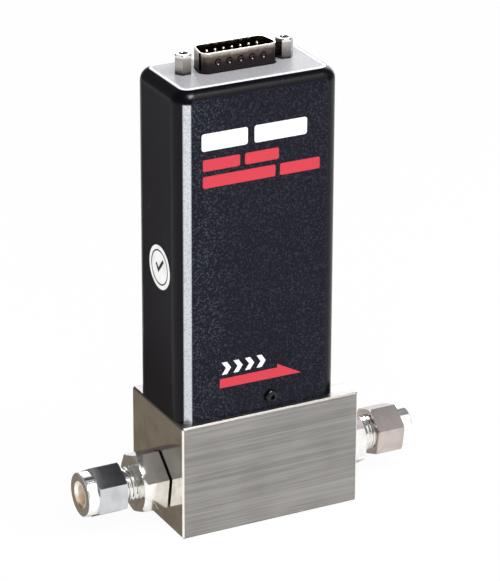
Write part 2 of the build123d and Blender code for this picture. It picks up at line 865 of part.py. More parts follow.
def make_cover_screw():
    """A low round-headed screw along +Y, its head's seat at Y = 0."""
    head = rod(cover_screw_head_radius, 0, cover_screw_head_height)
    rim = head.edges().filter_by(GeomType.CIRCLE).sort_by(Axis.Z)[-1]
    head = fillet(rim, cover_screw_head_round)
    key = RegularPolygon(cover_screw_key / 2, 6, major_radius=False)
    head -= Pos(0, 0, cover_screw_head_height - cover_screw_recess) * extrude(key, 2 * cover_screw_recess)
    shank = rod(cover_screw_radius, -cover_screw_length, 0)
    return Rot(90, 0, 0) * (head + shank)


def make_cover_screw_front():
    """The screw through the cover's front wall."""
    return Pos(cover_screw_x, cover_front, cover_screw_height) * make_cover_screw()


def make_cover_screw_back():
    """The screw through the cover's back wall."""
    return Pos(cover_screw_x, cover_back, cover_screw_height) * Rot(0, 0, 180) * make_cover_screw()


def make_front_lug():
    """The small angle piece that the cover's front screw bites into."""
    left = cover_screw_x - lug_width / 2
    y_range = (cover_inner_front, cover_inner_front + lug_depth)
    upright = block((left, left + lug_width), y_range, (block_height, block_height + lug_height))
    foot = block((left - lug_foot_length, left), y_range, (block_height, block_height + lug_foot_height))
    lug = upright + foot
    hole_range = (y_range[0] - overrun, y_range[1] + overrun)
    lug -= rod_along_y(cover_screw_radius + thread_gap, *hole_range, cover_screw_x, cover_screw_height)
    x, y = foot_screw_places()[2]
    foot_range = (block_height - overrun, block_height + lug_foot_height + overrun)
    return lug - rod(small_screw_radius + running_gap, *foot_range, x, y)


def make_small_screw(head_seat):
    """A small pan screw that grips the block, its head's seat at the given height."""
    length = head_seat - block_height + small_screw_length - running_gap
    head_top = head_seat + small_screw_head_height
    return make_cap_screw(
        small_screw_radius, small_screw_head_radius, small_screw_head_height, length, head_top
    )


def make_lug_screw():
    """The screw that holds the front lug."""
    x, y = foot_screw_places()[2]
    return Pos(x, y, 0) * make_small_screw(block_height + lug_foot_height)


# ---------------------------------------------------------------- bracket and boards
def make_board_bracket():
    """The folded sheet that stands on the block and carries the main board."""
    x_range = (bracket_left, bracket_right)
    foot_top = block_height + bracket_thickness
    upright = block(x_range, (bracket_front, cover_inner_back), (block_height, bracket_top))
    foot = block(x_range, (bracket_foot_front, cover_inner_back), (block_height, foot_top))
    sheet = upright + foot
    for x, y in foot_screw_places()[:2]:
        sheet -= rod(small_screw_radius + running_gap, block_height - overrun, foot_top + overrun, x, y)
    hole_range = (bracket_front - overrun, cover_inner_back + overrun)
    sheet -= rod_along_y(cover_screw_radius + thread_gap, *hole_range, cover_screw_x, cover_screw_height)
    for x, z in spacer_places():
        sheet -= rod_along_y(small_screw_radius + thread_gap, *hole_range, x, z)
    return sheet


def spacer_places():
    """Where the main board is screwed to the bracket, as (x, z)."""
    xs = (bracket_left + spacer_inset_x, bracket_right - spacer_inset_x)
    return [(x, z) for x in xs for z in (spacer_low, spacer_high)]


def make_bracket_screws():
    """The two screws that hold the bracket's foot."""
    screw = make_small_screw(block_height + bracket_thickness)
    return Compound(children=[Pos(x, y, 0) * screw for x, y in foot_screw_places()[:2]])


def make_board_spacers():
    """Plain spacers between the main board and the bracket."""
    spacers = []
    for x, z in spacer_places():
        outer = rod_along_y(spacer_radius, board_back, bracket_front, x, z)
        hole_range = (board_back - overrun, bracket_front + overrun)
        spacers.append(outer - rod_along_y(small_screw_radius + running_gap, *hole_range, x, z))
    return Compound(children=spacers)


def make_board_screws():
    """Four pan screws through the main board into the bracket."""
    screws = []
    head_front = board_front - small_screw_head_height
    for x, z in spacer_places():
        head = rod_along_y(small_screw_head_radius, head_front, board_front, x, z)
        shank = rod_along_y(small_screw_radius, board_front, cover_inner_back, x, z)
        screws.append(head + shank)
    return Compound(children=screws)


def make_circuit_board():
    """The main board, standing upright behind the valve and sensor."""
    board = block((board_left, board_right), (board_front, board_back), (board_bottom, board_top))
    hole_range = (board_front - overrun, board_back + overrun)
    for x, z in spacer_places():
        board -= rod_along_y(small_screw_radius + running_gap, *hole_range, x, z)
    return board


def make_link_board():
    """The small level board that the D connector is soldered to."""
    half = link_board_length / 2
    y_range = (board_back - link_board_depth, board_back)
    board = block((connector_x - half, connector_x + half), y_range, (link_board_bottom, link_board_top))
    for x, y in pin_places():
        board -= rod(pin_radius + pin_gap, link_board_bottom - overrun, link_board_top + overrun, x, y)
    return board


def make_board_header():
    """The right-angle header that joins the two boards."""
    half = header_length / 2
    return block(
        (connector_x - half, connector_x + half),
        (board_front - header_depth, board_front),
        (link_board_bottom - header_height, link_board_bottom),
    )


def make_trimmers():
    """The zero and span trimmers, each with its adjusting screw on top."""
    row_height = spacer_high + spacer_radius + trimmer_rise
    first = connector_x - (trimmer_count - 1) / 2 * trimmer_pitch
    trimmers = []
    for index in range(trimmer_count):
        x = first + index * trimmer_pitch
        half = trimmer_width / 2
        y_range = (board_front - trimmer_depth, board_front)
        body = block((x - half, x + half), y_range, (row_height, row_height + trimmer_height))
        middle_y = board_front - trimmer_depth / 2
        top = row_height + trimmer_height
        screw = rod(trimmer_screw_radius, top, top + trimmer_screw_height, x, middle_y)
        screw_top = top + trimmer_screw_height
        slot = block(
            (x - trimmer_screw_radius, x + trimmer_screw_radius),
            (middle_y - trimmer_slot_width / 2, middle_y + trimmer_slot_width / 2),
            (screw_top - trimmer_slot_depth, screw_top + overrun),
        )
        trimmers.append(body + screw - slot)
    return Compound(children=trimmers)


def make_board_chips():
    """The flat packages on the main board."""
    y_range = (board_front - chip_depth, board_front)
    middle_column = (bracket_left + bracket_right) / 2
    right_column = (bracket_right + board_right) / 2
    layout = [
        (board_left + chip_inset_x, board_top - chip_inset_z, corner_chip_size),
        (middle_column, spacer_low + chip_rise, small_chip_size),
        (right_column, board_bottom + wide_chip_rise, wide_chip_size),
        (right_column, board_bottom + tall_chip_rise, tall_chip_size),
    ]
    chips = []
    for x, z, (width, height) in layout:
        chips.append(block((x - width / 2, x + width / 2), y_range, (z - height / 2, z + height / 2)))
    return Compound(children=chips)


def make_board_capacitors():
    """Three can capacitors standing off the main board."""
    capacitors = []
    left_spacer = bracket_left + spacer_inset_x
    right_spacer = bracket_right - spacer_inset_x
    shift = capacitor_offset
    z = board_bottom + 2 * capacitor_radius
    crimp_end = board_front - capacitor_crimp_rise
    crimp_start = crimp_end - capacitor_crimp_width
    for x in (left_spacer - shift, left_spacer + shift, right_spacer + shift):
        can = rod_along_y(capacitor_radius, board_front - capacitor_length, crimp_start, x, z)
        waist = rod_along_y(capacitor_radius - capacitor_crimp, crimp_start, crimp_end, x, z)
        foot = rod_along_y(capacitor_radius, crimp_end, board_front, x, z)
        capacitors.append(can + waist + foot)
    return Compound(children=capacitors)


# ---------------------------------------------------------------- D connector
def connector_outline(grow):
    """The D outline about its own centre, wide side towards -Y."""
    half_depth = shell_depth / 2
    narrowing = shell_depth * tan(radians(shell_slant))
    wide = shell_width / 2
    narrow = wide - narrowing
    outline = Polyline(
        (-wide, -half_depth), (wide, -half_depth), (narrow, half_depth), (-narrow, half_depth), close=True
    )
    face = make_face(outline)
    face = fillet(face.vertices(), shell_corner)
    if grow == 0:
        return face
    return offset(face, amount=grow, kind=Kind.ARC)


def at_connector(shape, height):
    """Place a shape at the connector's centre and the given height."""
    return Pos(connector_x, connector_y, height) * shape


def pin_places():
    """Centres of the fifteen pins: eight at the front, seven behind."""
    places = []
    for row, count in ((-1, pin_columns), (1, pin_columns - 1)):
        for index in range(count):
            x = connector_x + (index - (count - 1) / 2) * pin_pitch
            places.append((x, connector_y + row * pin_row_spacing / 2))
    return places


def connector_flange(low, high):
    """The connector's flat plate with its two screw holes."""
    outline = RectangleRounded(flange_length, flange_depth, flange_corner)
    plate = at_connector(extrude(outline, high - low), low)
    hole_radius = jackscrew_shank_radius + jackscrew_hole_gap
    for x in jackscrew_xs:
        plate -= rod(hole_radius, low - overrun, high + overrun, x, connector_y)
    return plate


def make_connector_shell():
    """The drawn front shell with its flange, soft rim and row of dimples."""
    outer = at_connector(extrude(connector_outline(0), shell_top - flange_bottom), flange_bottom)
    rim = outer.faces().sort_by(Axis.Z)[-1].edges()
    outer = fillet(rim, shell_round)
    body = connector_flange(flange_bottom, cover_inner_top) + outer
    inside_height = shell_top - flange_bottom + 2 * overrun
    body -= at_connector(extrude(connector_outline(-shell_wall), inside_height), flange_bottom - overrun)
    wall_front = connector_y - shell_depth / 2
    wall_middle = wall_front + shell_wall / 2
    height = cover_top + dimple_rise
    ball_radius = (dimple_radius**2 + dimple_depth**2) / (2 * dimple_depth)
    ball_y = wall_front + dimple_depth - ball_radius
    for index in range(dimple_count):
        x = connector_x + (index - (dimple_count - 1) / 2) * dimple_pitch
        ball = Pos(x, ball_y, height)
        reach = (x - 2 * dimple_radius, x + 2 * dimple_radius)
        inner_side = block(reach, (wall_middle, connector_y), (cover_top, shell_top))
        body += ball * Sphere(ball_radius + shell_wall) & inner_side
        body -= ball * Sphere(ball_radius)
    return body


def make_connector_rear_shell():
    """The rear shell, drawn the other way behind the flange."""
    outer = at_connector(extrude(connector_outline(0), rear_shell_height), rear_shell_bottom)
    inside = extrude(connector_outline(-shell_wall), rear_shell_height + 2 * overrun)
    return outer - at_connector(inside, rear_shell_bottom - overrun)


def make_connector_insulator():
    """The moulded block that holds the pins inside both shells."""
    height = insulator_top - rear_shell_bottom
    body = at_connector(extrude(connector_outline(-shell_wall - insulator_gap), height), rear_shell_bottom)
    for x, y in pin_places():
        body -= rod(pin_radius + pin_gap, rear_shell_bottom - overrun, insulator_top + overrun, x, y)
    return body


def make_connector_pins():
    """The fifteen round contacts, rounded at the tip."""
    pins = []
    for x, y in pin_places():
        pin = rod(pin_radius, pin_bottom, pin_tip)
        tip = pin.edges().filter_by(GeomType.CIRCLE).sort_by(Axis.Z)[-1]
        pins.append(Pos(x, y, 0) * fillet(tip, pin_tip_round))
    return Compound(children=pins)


def make_jackscrew(x, turn):
    """A hexagonal standoff with a threaded socket and a shank below."""
    top = cover_top + jackscrew_rise
    body = chamfered_hexagon(
        jackscrew_flats, cover_top, top, turn, nut_corner_trim, angle=jackscrew_chamfer_angle
    )
    body += rod(jackscrew_shank_radius, cover_top - jackscrew_shank_length, cover_top)
    body -= rod(jackscrew_thread_radius, top - jackscrew_thread_depth, top + overrun)
    body -= turned(
        (0, top - jackscrew_countersink),
        (jackscrew_thread_radius, top - jackscrew_countersink),
        (jackscrew_thread_radius + jackscrew_countersink, top),
        (0, top),
    )
    return Pos(x, connector_y, 0) * body


def make_jackscrew_nuts():
    """The nuts under the connector's flange."""
    low = flange_bottom - jackscrew_nut_height
    nut = chamfered_hexagon(jackscrew_nut_flats, low, flange_bottom, crosswise_turn, nut_corner_trim, "low")
    nut -= rod(jackscrew_shank_radius + thread_gap, low - overrun, flange_bottom + overrun)
    return Compound(children=[Pos(x, connector_y, 0) * nut for x in jackscrew_xs])


# ---------------------------------------------------------------- assembly
def make_nodes():
    """Every sub-part by its node name."""
    return {
        "base_block": make_base_block(),
        "inlet_fitting_body": at_inlet(make_fitting_body(inlet_body_turn)),
        "inlet_nut": at_inlet(make_nut(inlet_nut_turn)),
        "inlet_front_ferrule": at_inlet(make_front_ferrule()),
        "inlet_back_ferrule": at_inlet(make_back_ferrule()),
        "inlet_port_ring": at_inlet(make_port_ring()),
        "outlet_fitting_body": at_outlet(make_fitting_body(outlet_body_turn)),
        "outlet_nut": at_outlet(make_nut(outlet_nut_turn)),
        "outlet_front_ferrule": at_outlet(make_front_ferrule()),
        "outlet_back_ferrule": at_outlet(make_back_ferrule()),
        "outlet_port_ring": at_outlet(make_port_ring()),
        "inlet_filter": at_inlet(make_inlet_filter()),
        "bypass_element": make_bypass_element(),
        "bypass_retainer": make_bypass_retainer(),
        "sensor_base": make_sensor_base(),
        "sensor_tube": make_sensor_tube(),
        "sensor_windings": make_sensor_windings(),
        "sensor_cover": make_sensor_cover(),
        "sensor_screws": make_sensor_screws(),
        "sensor_rings": make_sensor_rings(),
        "valve_orifice": make_valve_orifice(),
        "valve_guide_tube": make_valve_guide_tube(),
        "valve_ring": make_valve_ring(),
        "valve_plunger": make_valve_plunger(),
        "plunger_seal": make_plunger_seal(),
        "plunger_spring": make_plunger_spring(),
        "valve_pole_piece": make_pole_piece(),
        "coil_bobbin": make_coil_bobbin(),
        "coil_winding": make_coil_winding(),
        "valve_yoke": make_valve_yoke(),
        "valve_nut": make_valve_nut(),
        "cover": make_cover(),
        "cover_screw_front": make_cover_screw_front(),
        "cover_screw_back": make_cover_screw_back(),
        "front_lug": make_front_lug(),
        "front_lug_screw": make_lug_screw(),
        "board_bracket": make_board_bracket(),
        "bracket_screws": make_bracket_screws(),
        "board_spacers": make_board_spacers(),
        "board_screws": make_board_screws(),
        "circuit_board": make_circuit_board(),
        "link_board": make_link_board(),
        "board_header": make_board_header(),
        "board_trimmers": make_trimmers(),
        "board_chips": make_board_chips(),
        "board_capacitors": make_board_capacitors(),
        "connector_shell": make_connector_shell(),
        "connector_rear_shell": make_connector_rear_shell(),
        "connector_insulator": make_connector_insulator(),
        "connector_pins": make_connector_pins(),
        "jackscrew_left": make_jackscrew(jackscrew_xs[0], jackscrew_left_turn),
        "jackscrew_right": make_jackscrew(jackscrew_xs[1], jackscrew_right_turn),
        "jackscrew_nuts": make_jackscrew_nuts(),
    }


os.makedirs("parts", exist_ok=True)
for node_name, shape in make_nodes().items():
    export_step(shape, f"parts/{node_name}.step")
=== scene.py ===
"""Finishes, printed marks, threads, lights and camera for a thermal mass flow controller."""

import json
import logging
import math
from dataclasses import dataclass, field
from enum import Enum

import bpy
from mathutils import Matrix, Vector


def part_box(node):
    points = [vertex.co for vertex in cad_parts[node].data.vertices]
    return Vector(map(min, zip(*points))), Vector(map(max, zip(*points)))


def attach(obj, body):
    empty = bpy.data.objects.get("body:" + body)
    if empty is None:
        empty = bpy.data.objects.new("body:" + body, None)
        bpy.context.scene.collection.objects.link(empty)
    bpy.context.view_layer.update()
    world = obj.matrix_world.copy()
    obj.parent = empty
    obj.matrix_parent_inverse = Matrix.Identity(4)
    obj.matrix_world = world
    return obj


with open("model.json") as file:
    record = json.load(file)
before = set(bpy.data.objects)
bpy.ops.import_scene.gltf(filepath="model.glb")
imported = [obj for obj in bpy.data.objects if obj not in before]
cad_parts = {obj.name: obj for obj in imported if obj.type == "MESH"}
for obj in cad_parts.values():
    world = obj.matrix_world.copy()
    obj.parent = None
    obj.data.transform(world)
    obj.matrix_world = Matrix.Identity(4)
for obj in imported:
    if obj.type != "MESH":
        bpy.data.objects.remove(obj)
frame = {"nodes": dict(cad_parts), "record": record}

log = logging.getLogger("mass_flow_controller")

MM = 0.001
BODY = "housing"
Number = float | int
Pair = tuple[float, float]
Triple = tuple[float, float, float]
Colour = tuple[float, float, float]


# ---------------------------------------------------------------- shader expressions
class Value:
    """One socket of a node tree; arithmetic on it adds Math nodes."""

    def __init__(self, graph: "Graph", socket: bpy.types.NodeSocket) -> None:
        """Wraps a socket.

        Args:
            graph: the node tree's builder.
            socket: the output socket that carries the value.
        """
        self.graph = graph
        self.socket = socket

    def _math(self, operation: str, first: "Value | Number", second: "Value | Number") -> "Value":
        """Adds one Math node."""
        return self.graph.math(operation, first, second)

    def __add__(self, other: "Value | Number") -> "Value":
        """Sum."""
        return self._math("ADD", self, other)

    __radd__ = __add__

    def __sub__(self, other: "Value | Number") -> "Value":
        """Difference."""
        return self._math("SUBTRACT", self, other)

    def __rsub__(self, other: "Value | Number") -> "Value":
        """Difference, reflected."""
        return self._math("SUBTRACT", other, self)

    def __mul__(self, other: "Value | Number") -> "Value":
        """Product."""
        return self._math("MULTIPLY", self, other)

    __rmul__ = __mul__

    def above(self, limit: Number) -> "Value":
        """1 where the value is over the limit, and 0 elsewhere."""
        return self._math("GREATER_THAN", self, limit)

    def power(self, exponent: Number) -> "Value":
        """The value raised to an exponent."""
        return self._math("POWER", self, exponent)

    def size(self) -> "Value":
        """The value without its sign."""
        return self._math("ABSOLUTE", self, 0.0)

    def at_least(self, other: "Value | Number") -> "Value":
        """The larger of the two."""
        return self._math("MAXIMUM", self, other)


class Graph:
    """Builds the node tree of one material or of the world."""

    def __init__(self, name: str, owner: bpy.types.World | None = None) -> None:
        """Starts an empty tree.

        Args:
            name: the material's name.
            owner: the world that the tree is for, or None for a new material.
        """
        self.owner = owner or bpy.data.materials.new(name)
        self.owner.use_nodes = True
        self.tree = self.owner.node_tree
        self.tree.nodes.clear()

    def node(self, kind: str, settings: dict | None = None, inputs: dict | None = None) -> bpy.types.Node:
        """Adds one node.

        Args:
            kind: the node's type name.
            settings: the node's properties, set first.
            inputs: values or links by socket name or number.

        Returns:
            The node.
        """
        node = self.tree.nodes.new(kind)
        for name, value in (settings or {}).items():
            setattr(node, name, value)
        for key, value in (inputs or {}).items():
            socket = node.inputs[key]
            if isinstance(value, Value):
                self.tree.links.new(value.socket, socket)
            else:
                socket.default_value = value
        return node

    def out(self, node: bpy.types.Node, key: str | int = 0) -> Value:
        """One of a node's outputs as a value."""
        return Value(self, node.outputs[key])

    def math(self, operation: str, first: Value | Number, second: Value | Number) -> Value:
        """Adds a Math node.

        Args:
            operation: the node's operation.
            first: its first operand.
            second: its second operand.

        Returns:
            The result.
        """
        return self.out(self.node("ShaderNodeMath", {"operation": operation}, {0: first, 1: second}))

    def place(self, scale: Triple = (1.0, 1.0, 1.0)) -> Value:
        """Object coordinates, stretched by a Mapping node.

        Args:
            scale: stretch along each axis.

        Returns:
            The coordinates.
        """
        coordinates = self.out(self.node("ShaderNodeTexCoord"), "Object")
        return self.out(self.node("ShaderNodeMapping", {}, {"Vector": coordinates, "Scale": scale}))

    def parts(self) -> tuple[Value, Value, Value]:
        """The three Object coordinates."""
        split = self.node("ShaderNodeSeparateXYZ", {}, {0: self.place()})
        return tuple(self.out(split, index) for index in range(3))

    def noise(
        self,
        scale: Number,
        detail: Number = 2.0,
        stretch: Triple = (1.0, 1.0, 1.0),
        rough: Number = 0.5,
    ) -> Value:
        """Noise from 0 to 1 in Object coordinates.

        Args:
            scale: cells to a metre.
            detail: octaves.
            stretch: extra scale along each axis.
            rough: how strong the finer octaves are.

        Returns:
            The noise.
        """
        inputs = {"Vector": self.place(stretch), "Scale": scale, "Detail": detail, "Roughness": rough}
        return self.out(self.node("ShaderNodeTexNoise", {"noise_dimensions": "3D"}, inputs), 0)

    def ramp(
        self,
        value: Value,
        low: Number,
        high: Number,
        start: Number = 0.0,
        end: Number = 1.0,
    ) -> Value:
        """Takes a range of values smoothly to another range.

        Args:
            value: what is remapped.
            low: value that gives start.
            high: value that gives end.
            start: result at low.
            end: result at high.

        Returns:
            The remapped value.
        """
        inputs = {"Value": value, "From Min": low, "From Max": high, "To Min": start, "To Max": end}
        return self.out(self.node("ShaderNodeMapRange", {"interpolation_type": "SMOOTHSTEP"}, inputs), 0)

    def fade(self, value: Value, low: Number, high: Number) -> Value:
        """1 up to a low value, falling smoothly to 0 at a high one."""
        return self.ramp(value, low, high, 1.0, 0.0)

    def blend(self, factor: Value, first: "Colour | Value", second: "Colour | Value") -> Value:
        """Mixes two colours.

        Args:
            factor: 0 for the first, 1 for the second.
            first: colour or link.
            second: colour or link.

        Returns:
            The colour.
        """
        first = (*first, 1.0) if isinstance(first, tuple) else first
        second = (*second, 1.0) if isinstance(second, tuple) else second
        node = self.node("ShaderNodeMix", {"data_type": "RGBA"}, {0: factor, 6: first, 7: second})
        return self.out(node, 2)

    def facing(self) -> tuple[Value, Value, Value]:
        """How much the surface faces along X, Y and Z, without sign."""
        normal = self.out(self.node("ShaderNodeNewGeometry"), "Normal")
        parts = self.node("ShaderNodeSeparateXYZ", {}, {0: normal})
        return tuple(self.out(parts, index).size() for index in range(3))

    def bump(self, height: Value, distance: Number) -> Value:
        """A normal from a height.

        Args:
            height: 0 to 1.
            distance: metres for a height of 1.

        Returns:
            The normal.
        """
        return self.out(self.node("ShaderNodeBump", {}, {"Height": height, "Distance": distance}), 0)

    def end(self, shader: bpy.types.Node, output: str = "ShaderNodeOutputMaterial") -> None:
        """Ends the tree.

        Args:
            shader: the node whose first output is the surface.
            output: the output node's type name.
        """
        self.tree.links.new(shader.outputs[0], self.node(output).inputs["Surface"])

    def surface(self, **sockets: "Value | Number | Colour") -> bpy.types.Material:
        """Ends the tree with a Principled shader.

        Args:
            **sockets: its sockets by name, with underscores for spaces.

        Returns:
            The material.
        """
        inputs = {}
        for name, value in sockets.items():
            colour = isinstance(value, tuple) and len(value) == 3
            inputs[name.replace("_", " ")] = (*value, 1.0) if colour else value
        self.end(self.node("ShaderNodeBsdfPrincipled", {}, inputs))
        return self.owner


# ---------------------------------------------------------------- finishes
def axis_height() -> float:
    """Height of the two fittings' shared axis, in metres."""
    low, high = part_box("inlet_nut")
    return (low.z + high.z) / 2


class Axis(Enum):
    """The way that tool marks run."""

    X = 0
    Y = 1
    Z = 2


class Side(Enum):
    """Which end of the block a fitting is on."""

    INLET = -1
    OUTLET = 1


@dataclass(frozen=True)
class PowderCoat:
    """Black fine-textured paint on sheet metal, with painted glare that makes the top pale grey, a painted
    highlight along the top's rim, painted sheen on the front and a painted highlight on one corner.
    """

    name: str = "cover_powder_coat"
    colour: Colour = (0.0008, 0.0006, 0.0024)
    # Painted sheen: the front's bluer base and its flecks, and the teal flecks near its left edge.
    front_colour: Colour = (0.0008, 0.0008, 0.0068)
    fleck: Colour = (0.020, 0.020, 0.034)
    left_fleck: Colour = (0.036, 0.046, 0.057)
    # Painted glare: the top's pale grey stands in for light from above and behind.
    top_colour: Colour = (0.46, 0.46, 0.49)
    # Painted highlight: the light line along the edge of the top.
    rim_colour: Colour = (0.88, 0.88, 0.90)
    grain: float = 1900.0
    depth: float = 0.000012
    roughness: float = 0.25
    top_roughness: float = 0.46
    ior: float = 1.26
    dust_roughness: float = 0.30
    dust_ior: float = 1.5
    # Painted highlight: the bright metallic patch on the front left corner.
    worn_colour: Colour = (0.57, 0.59, 0.63)
    worn_metal: float = 0.95
    top_facing: Pair = (0.985, 0.9995)
    rim_facing: Pair = (0.935, 0.965)
    front_facing: Pair = (0.93, 0.99)
    left_zone: Pair = (0.0048, 0.0198)
    corner_from_left: Pair = (0.0138, 0.0158)
    corner_from_front: Pair = (0.0095, 0.0115)
    corner_turn: Pair = (0.22, 0.30)
    corner_turn_end: Pair = (0.60, 0.68)
    corner_upright: Pair = (0.04, 0.12)

    def worn_corner(self, graph: Graph, flecks: Value) -> Value:
        """Where a highlight is painted as a bright metallic patch: the outer bend of the front left corner.

        Args:
            graph: the material's tree.
            flecks: the paint's specks, which keep some of it.

        Returns:
            The mask.
        """
        along_x, _, along_z = graph.facing()
        across, deep, _ = graph.parts()
        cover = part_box("cover")[0]
        turned = graph.ramp(along_x, *self.corner_turn) * graph.fade(along_x, *self.corner_turn_end)
        at_left = graph.fade(across - cover.x, *self.corner_from_left)
        at_front = graph.fade(deep - cover.y, *self.corner_from_front)
        upright = graph.fade(along_z, *self.corner_upright)
        return turned * at_left * at_front * upright * (1.0 - 0.30 * flecks)

    def build(self) -> bpy.types.Material:
        """Makes the material."""
        graph = Graph(self.name)
        _, along_y, along_z = graph.facing()
        is_top = graph.ramp(along_z, *self.top_facing)
        is_front = graph.ramp(along_y, *self.front_facing)
        is_rim = graph.ramp(along_z, *self.rim_facing)
        grain = graph.noise(self.grain, 1.0)
        coarse = graph.noise(self.grain * 0.35, 2.0)
        cloud = graph.noise(45.0, 2.0)
        # Flecks on the front are partly the paint's real grain and partly painted sheen; towards the left
        # edge they turn teal, as painted sheen from the corner's highlight.
        flecks = graph.ramp(grain * 0.85 + cloud * 0.15, 0.48, 0.70)
        from_left = graph.parts()[0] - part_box("cover")[0].x
        fleck = graph.blend(graph.ramp(from_left, *self.left_zone), self.left_fleck, self.fleck)
        side = graph.blend(is_front, self.colour, graph.blend(flecks, self.front_colour, fleck))
        # Painted glare on the top: pale grey, a little darker at the flecks.
        top = graph.blend(flecks, tuple(value * 0.80 for value in self.top_colour), self.top_colour)
        # Painted highlight: a bright metallic patch on the front left corner.
        wear_and_highlight = self.worn_corner(graph, flecks)
        # The band round the top's edge gets the painted highlight.
        painted = graph.blend(is_top, graph.blend(is_rim, side, self.rim_colour), top)
        colour = graph.blend(wear_and_highlight, painted, self.worn_colour)
        smooth = self.roughness + 0.05 * (cloud - 0.5) + 0.08 * (grain - 0.5)
        roughness = smooth * (1.0 - is_top) + self.top_roughness * is_top
        normal = graph.bump(grain * 0.7 + coarse * 0.3, self.depth)
        return graph.surface(
            Base_Color=colour,
            Roughness=roughness,
            Normal=normal,
            IOR=self.ior,
            Metallic=wear_and_highlight * self.worn_metal,
            Coat_Weight=is_top * (0.16 + 0.2 * flecks),
            Coat_Roughness=self.dust_roughness,
            Coat_IOR=self.dust_ior,
        )


@dataclass(frozen=True)
class GroundSteel:
    """The flow block: long grinding lines on its front and top, polished ends, and edges painted with a
    highlight on the upright ones and with shade on the upper ones.
    """

    name: str = "ground_block_steel"
    colour: Colour = (0.345, 0.333, 0.317)
    shade: Colour = (0.220, 0.212, 0.202)
    end_colour: Colour = (0.80, 0.755, 0.69)
    end_shade: Colour = (0.68, 0.635, 0.575)
    # Painted highlight on upright edges, painted shade on upper edges.
    edge_colour: Colour = (0.92, 0.89, 0.83)
    top_edge_colour: Colour = (0.20, 0.19, 0.172)
    lines: float = 2600.0
    depth: float = 0.0000035
    face_roughness: float = 0.33
    end_roughness: float = 0.10
    edge_roughness: float = 0.45
    end_facing: Pair = (0.86, 0.97)
    edge_facing: Pair = (0.80, 0.93)
    upper_facing: Pair = (0.3, 0.6)

    def build(self) -> bpy.types.Material:
        """Makes the material."""
        graph = Graph(self.name)
        along_x, along_y, along_z = graph.facing()
        is_end = graph.ramp(along_x, *self.end_facing)
        flattest = along_x.at_least(along_y).at_least(along_z)
        is_edge = graph.fade(flattest, *self.edge_facing)
        fine = graph.noise(1.0, 3.0, (35.0, self.lines, self.lines), 0.6)
        broad = graph.noise(1.0, 2.0, (9.0, 420.0, 420.0))
        cloud = graph.noise(55.0, 2.0)
        stain = graph.noise(160.0, 4.0)
        tone = graph.ramp(0.45 * fine + 0.3 * broad + 0.25 * cloud, 0.36, 0.64)
        face = graph.blend(tone, self.shade, self.colour)
        end = graph.blend(graph.ramp(stain, 0.38, 0.66), self.end_colour, self.end_shade)
        # Painted highlight on the upright edges and painted shade on the upper edges.
        is_upper = graph.ramp(along_z, *self.upper_facing)
        edge = graph.blend(is_upper, self.edge_colour, self.top_edge_colour)
        colour = graph.blend(is_edge, graph.blend(is_end, face, end), edge)
        wear_and_highlight = self.face_roughness + 0.10 * (fine - 0.5) + 0.07 * (cloud - 0.5)
        flat = wear_and_highlight * (1.0 - is_end) + (self.end_roughness + 0.05 * stain) * is_end
        roughness = flat * (1.0 - is_edge) + self.edge_roughness * is_edge
        height = fine * (1.0 - 0.85 * is_end) + 0.6 * broad * (1.0 - is_end)
        normal = graph.bump(height, self.depth)
        return graph.surface(Base_Color=colour, Roughness=roughness, Metallic=1.0, Normal=normal)


@dataclass(frozen=True)
class TurnedMetal:
    """Metal with fine tool marks round an axis and a little handling wear."""

    name: str
    colour: Colour = (0.80, 0.79, 0.77)
    shade: Colour = (0.62, 0.60, 0.57)
    roughness: float = 0.13
    spread: float = 0.10
    lines: float = 5200.0
    depth: float = 0.0000012
    axis: Axis = Axis.X
    across: float = 90.0

    def build(self) -> bpy.types.Material:
        """Makes the material."""
        graph = Graph(self.name)
        stretch = [self.across] * 3
        stretch[self.axis.value] = self.lines
        marks = graph.noise(1.0, 3.0, tuple(stretch), 0.55)
        cloud = graph.noise(260.0, 3.0)
        colour = graph.blend(graph.ramp(cloud, 0.35, 0.70), self.colour, self.shade)
        roughness = self.roughness + self.spread * (marks - 0.5) + self.spread * (cloud - 0.5)
        normal = graph.bump(marks * 0.8 + cloud * 0.2, self.depth)
        return graph.surface(Base_Color=colour, Roughness=roughness, Metallic=1.0, Normal=normal)


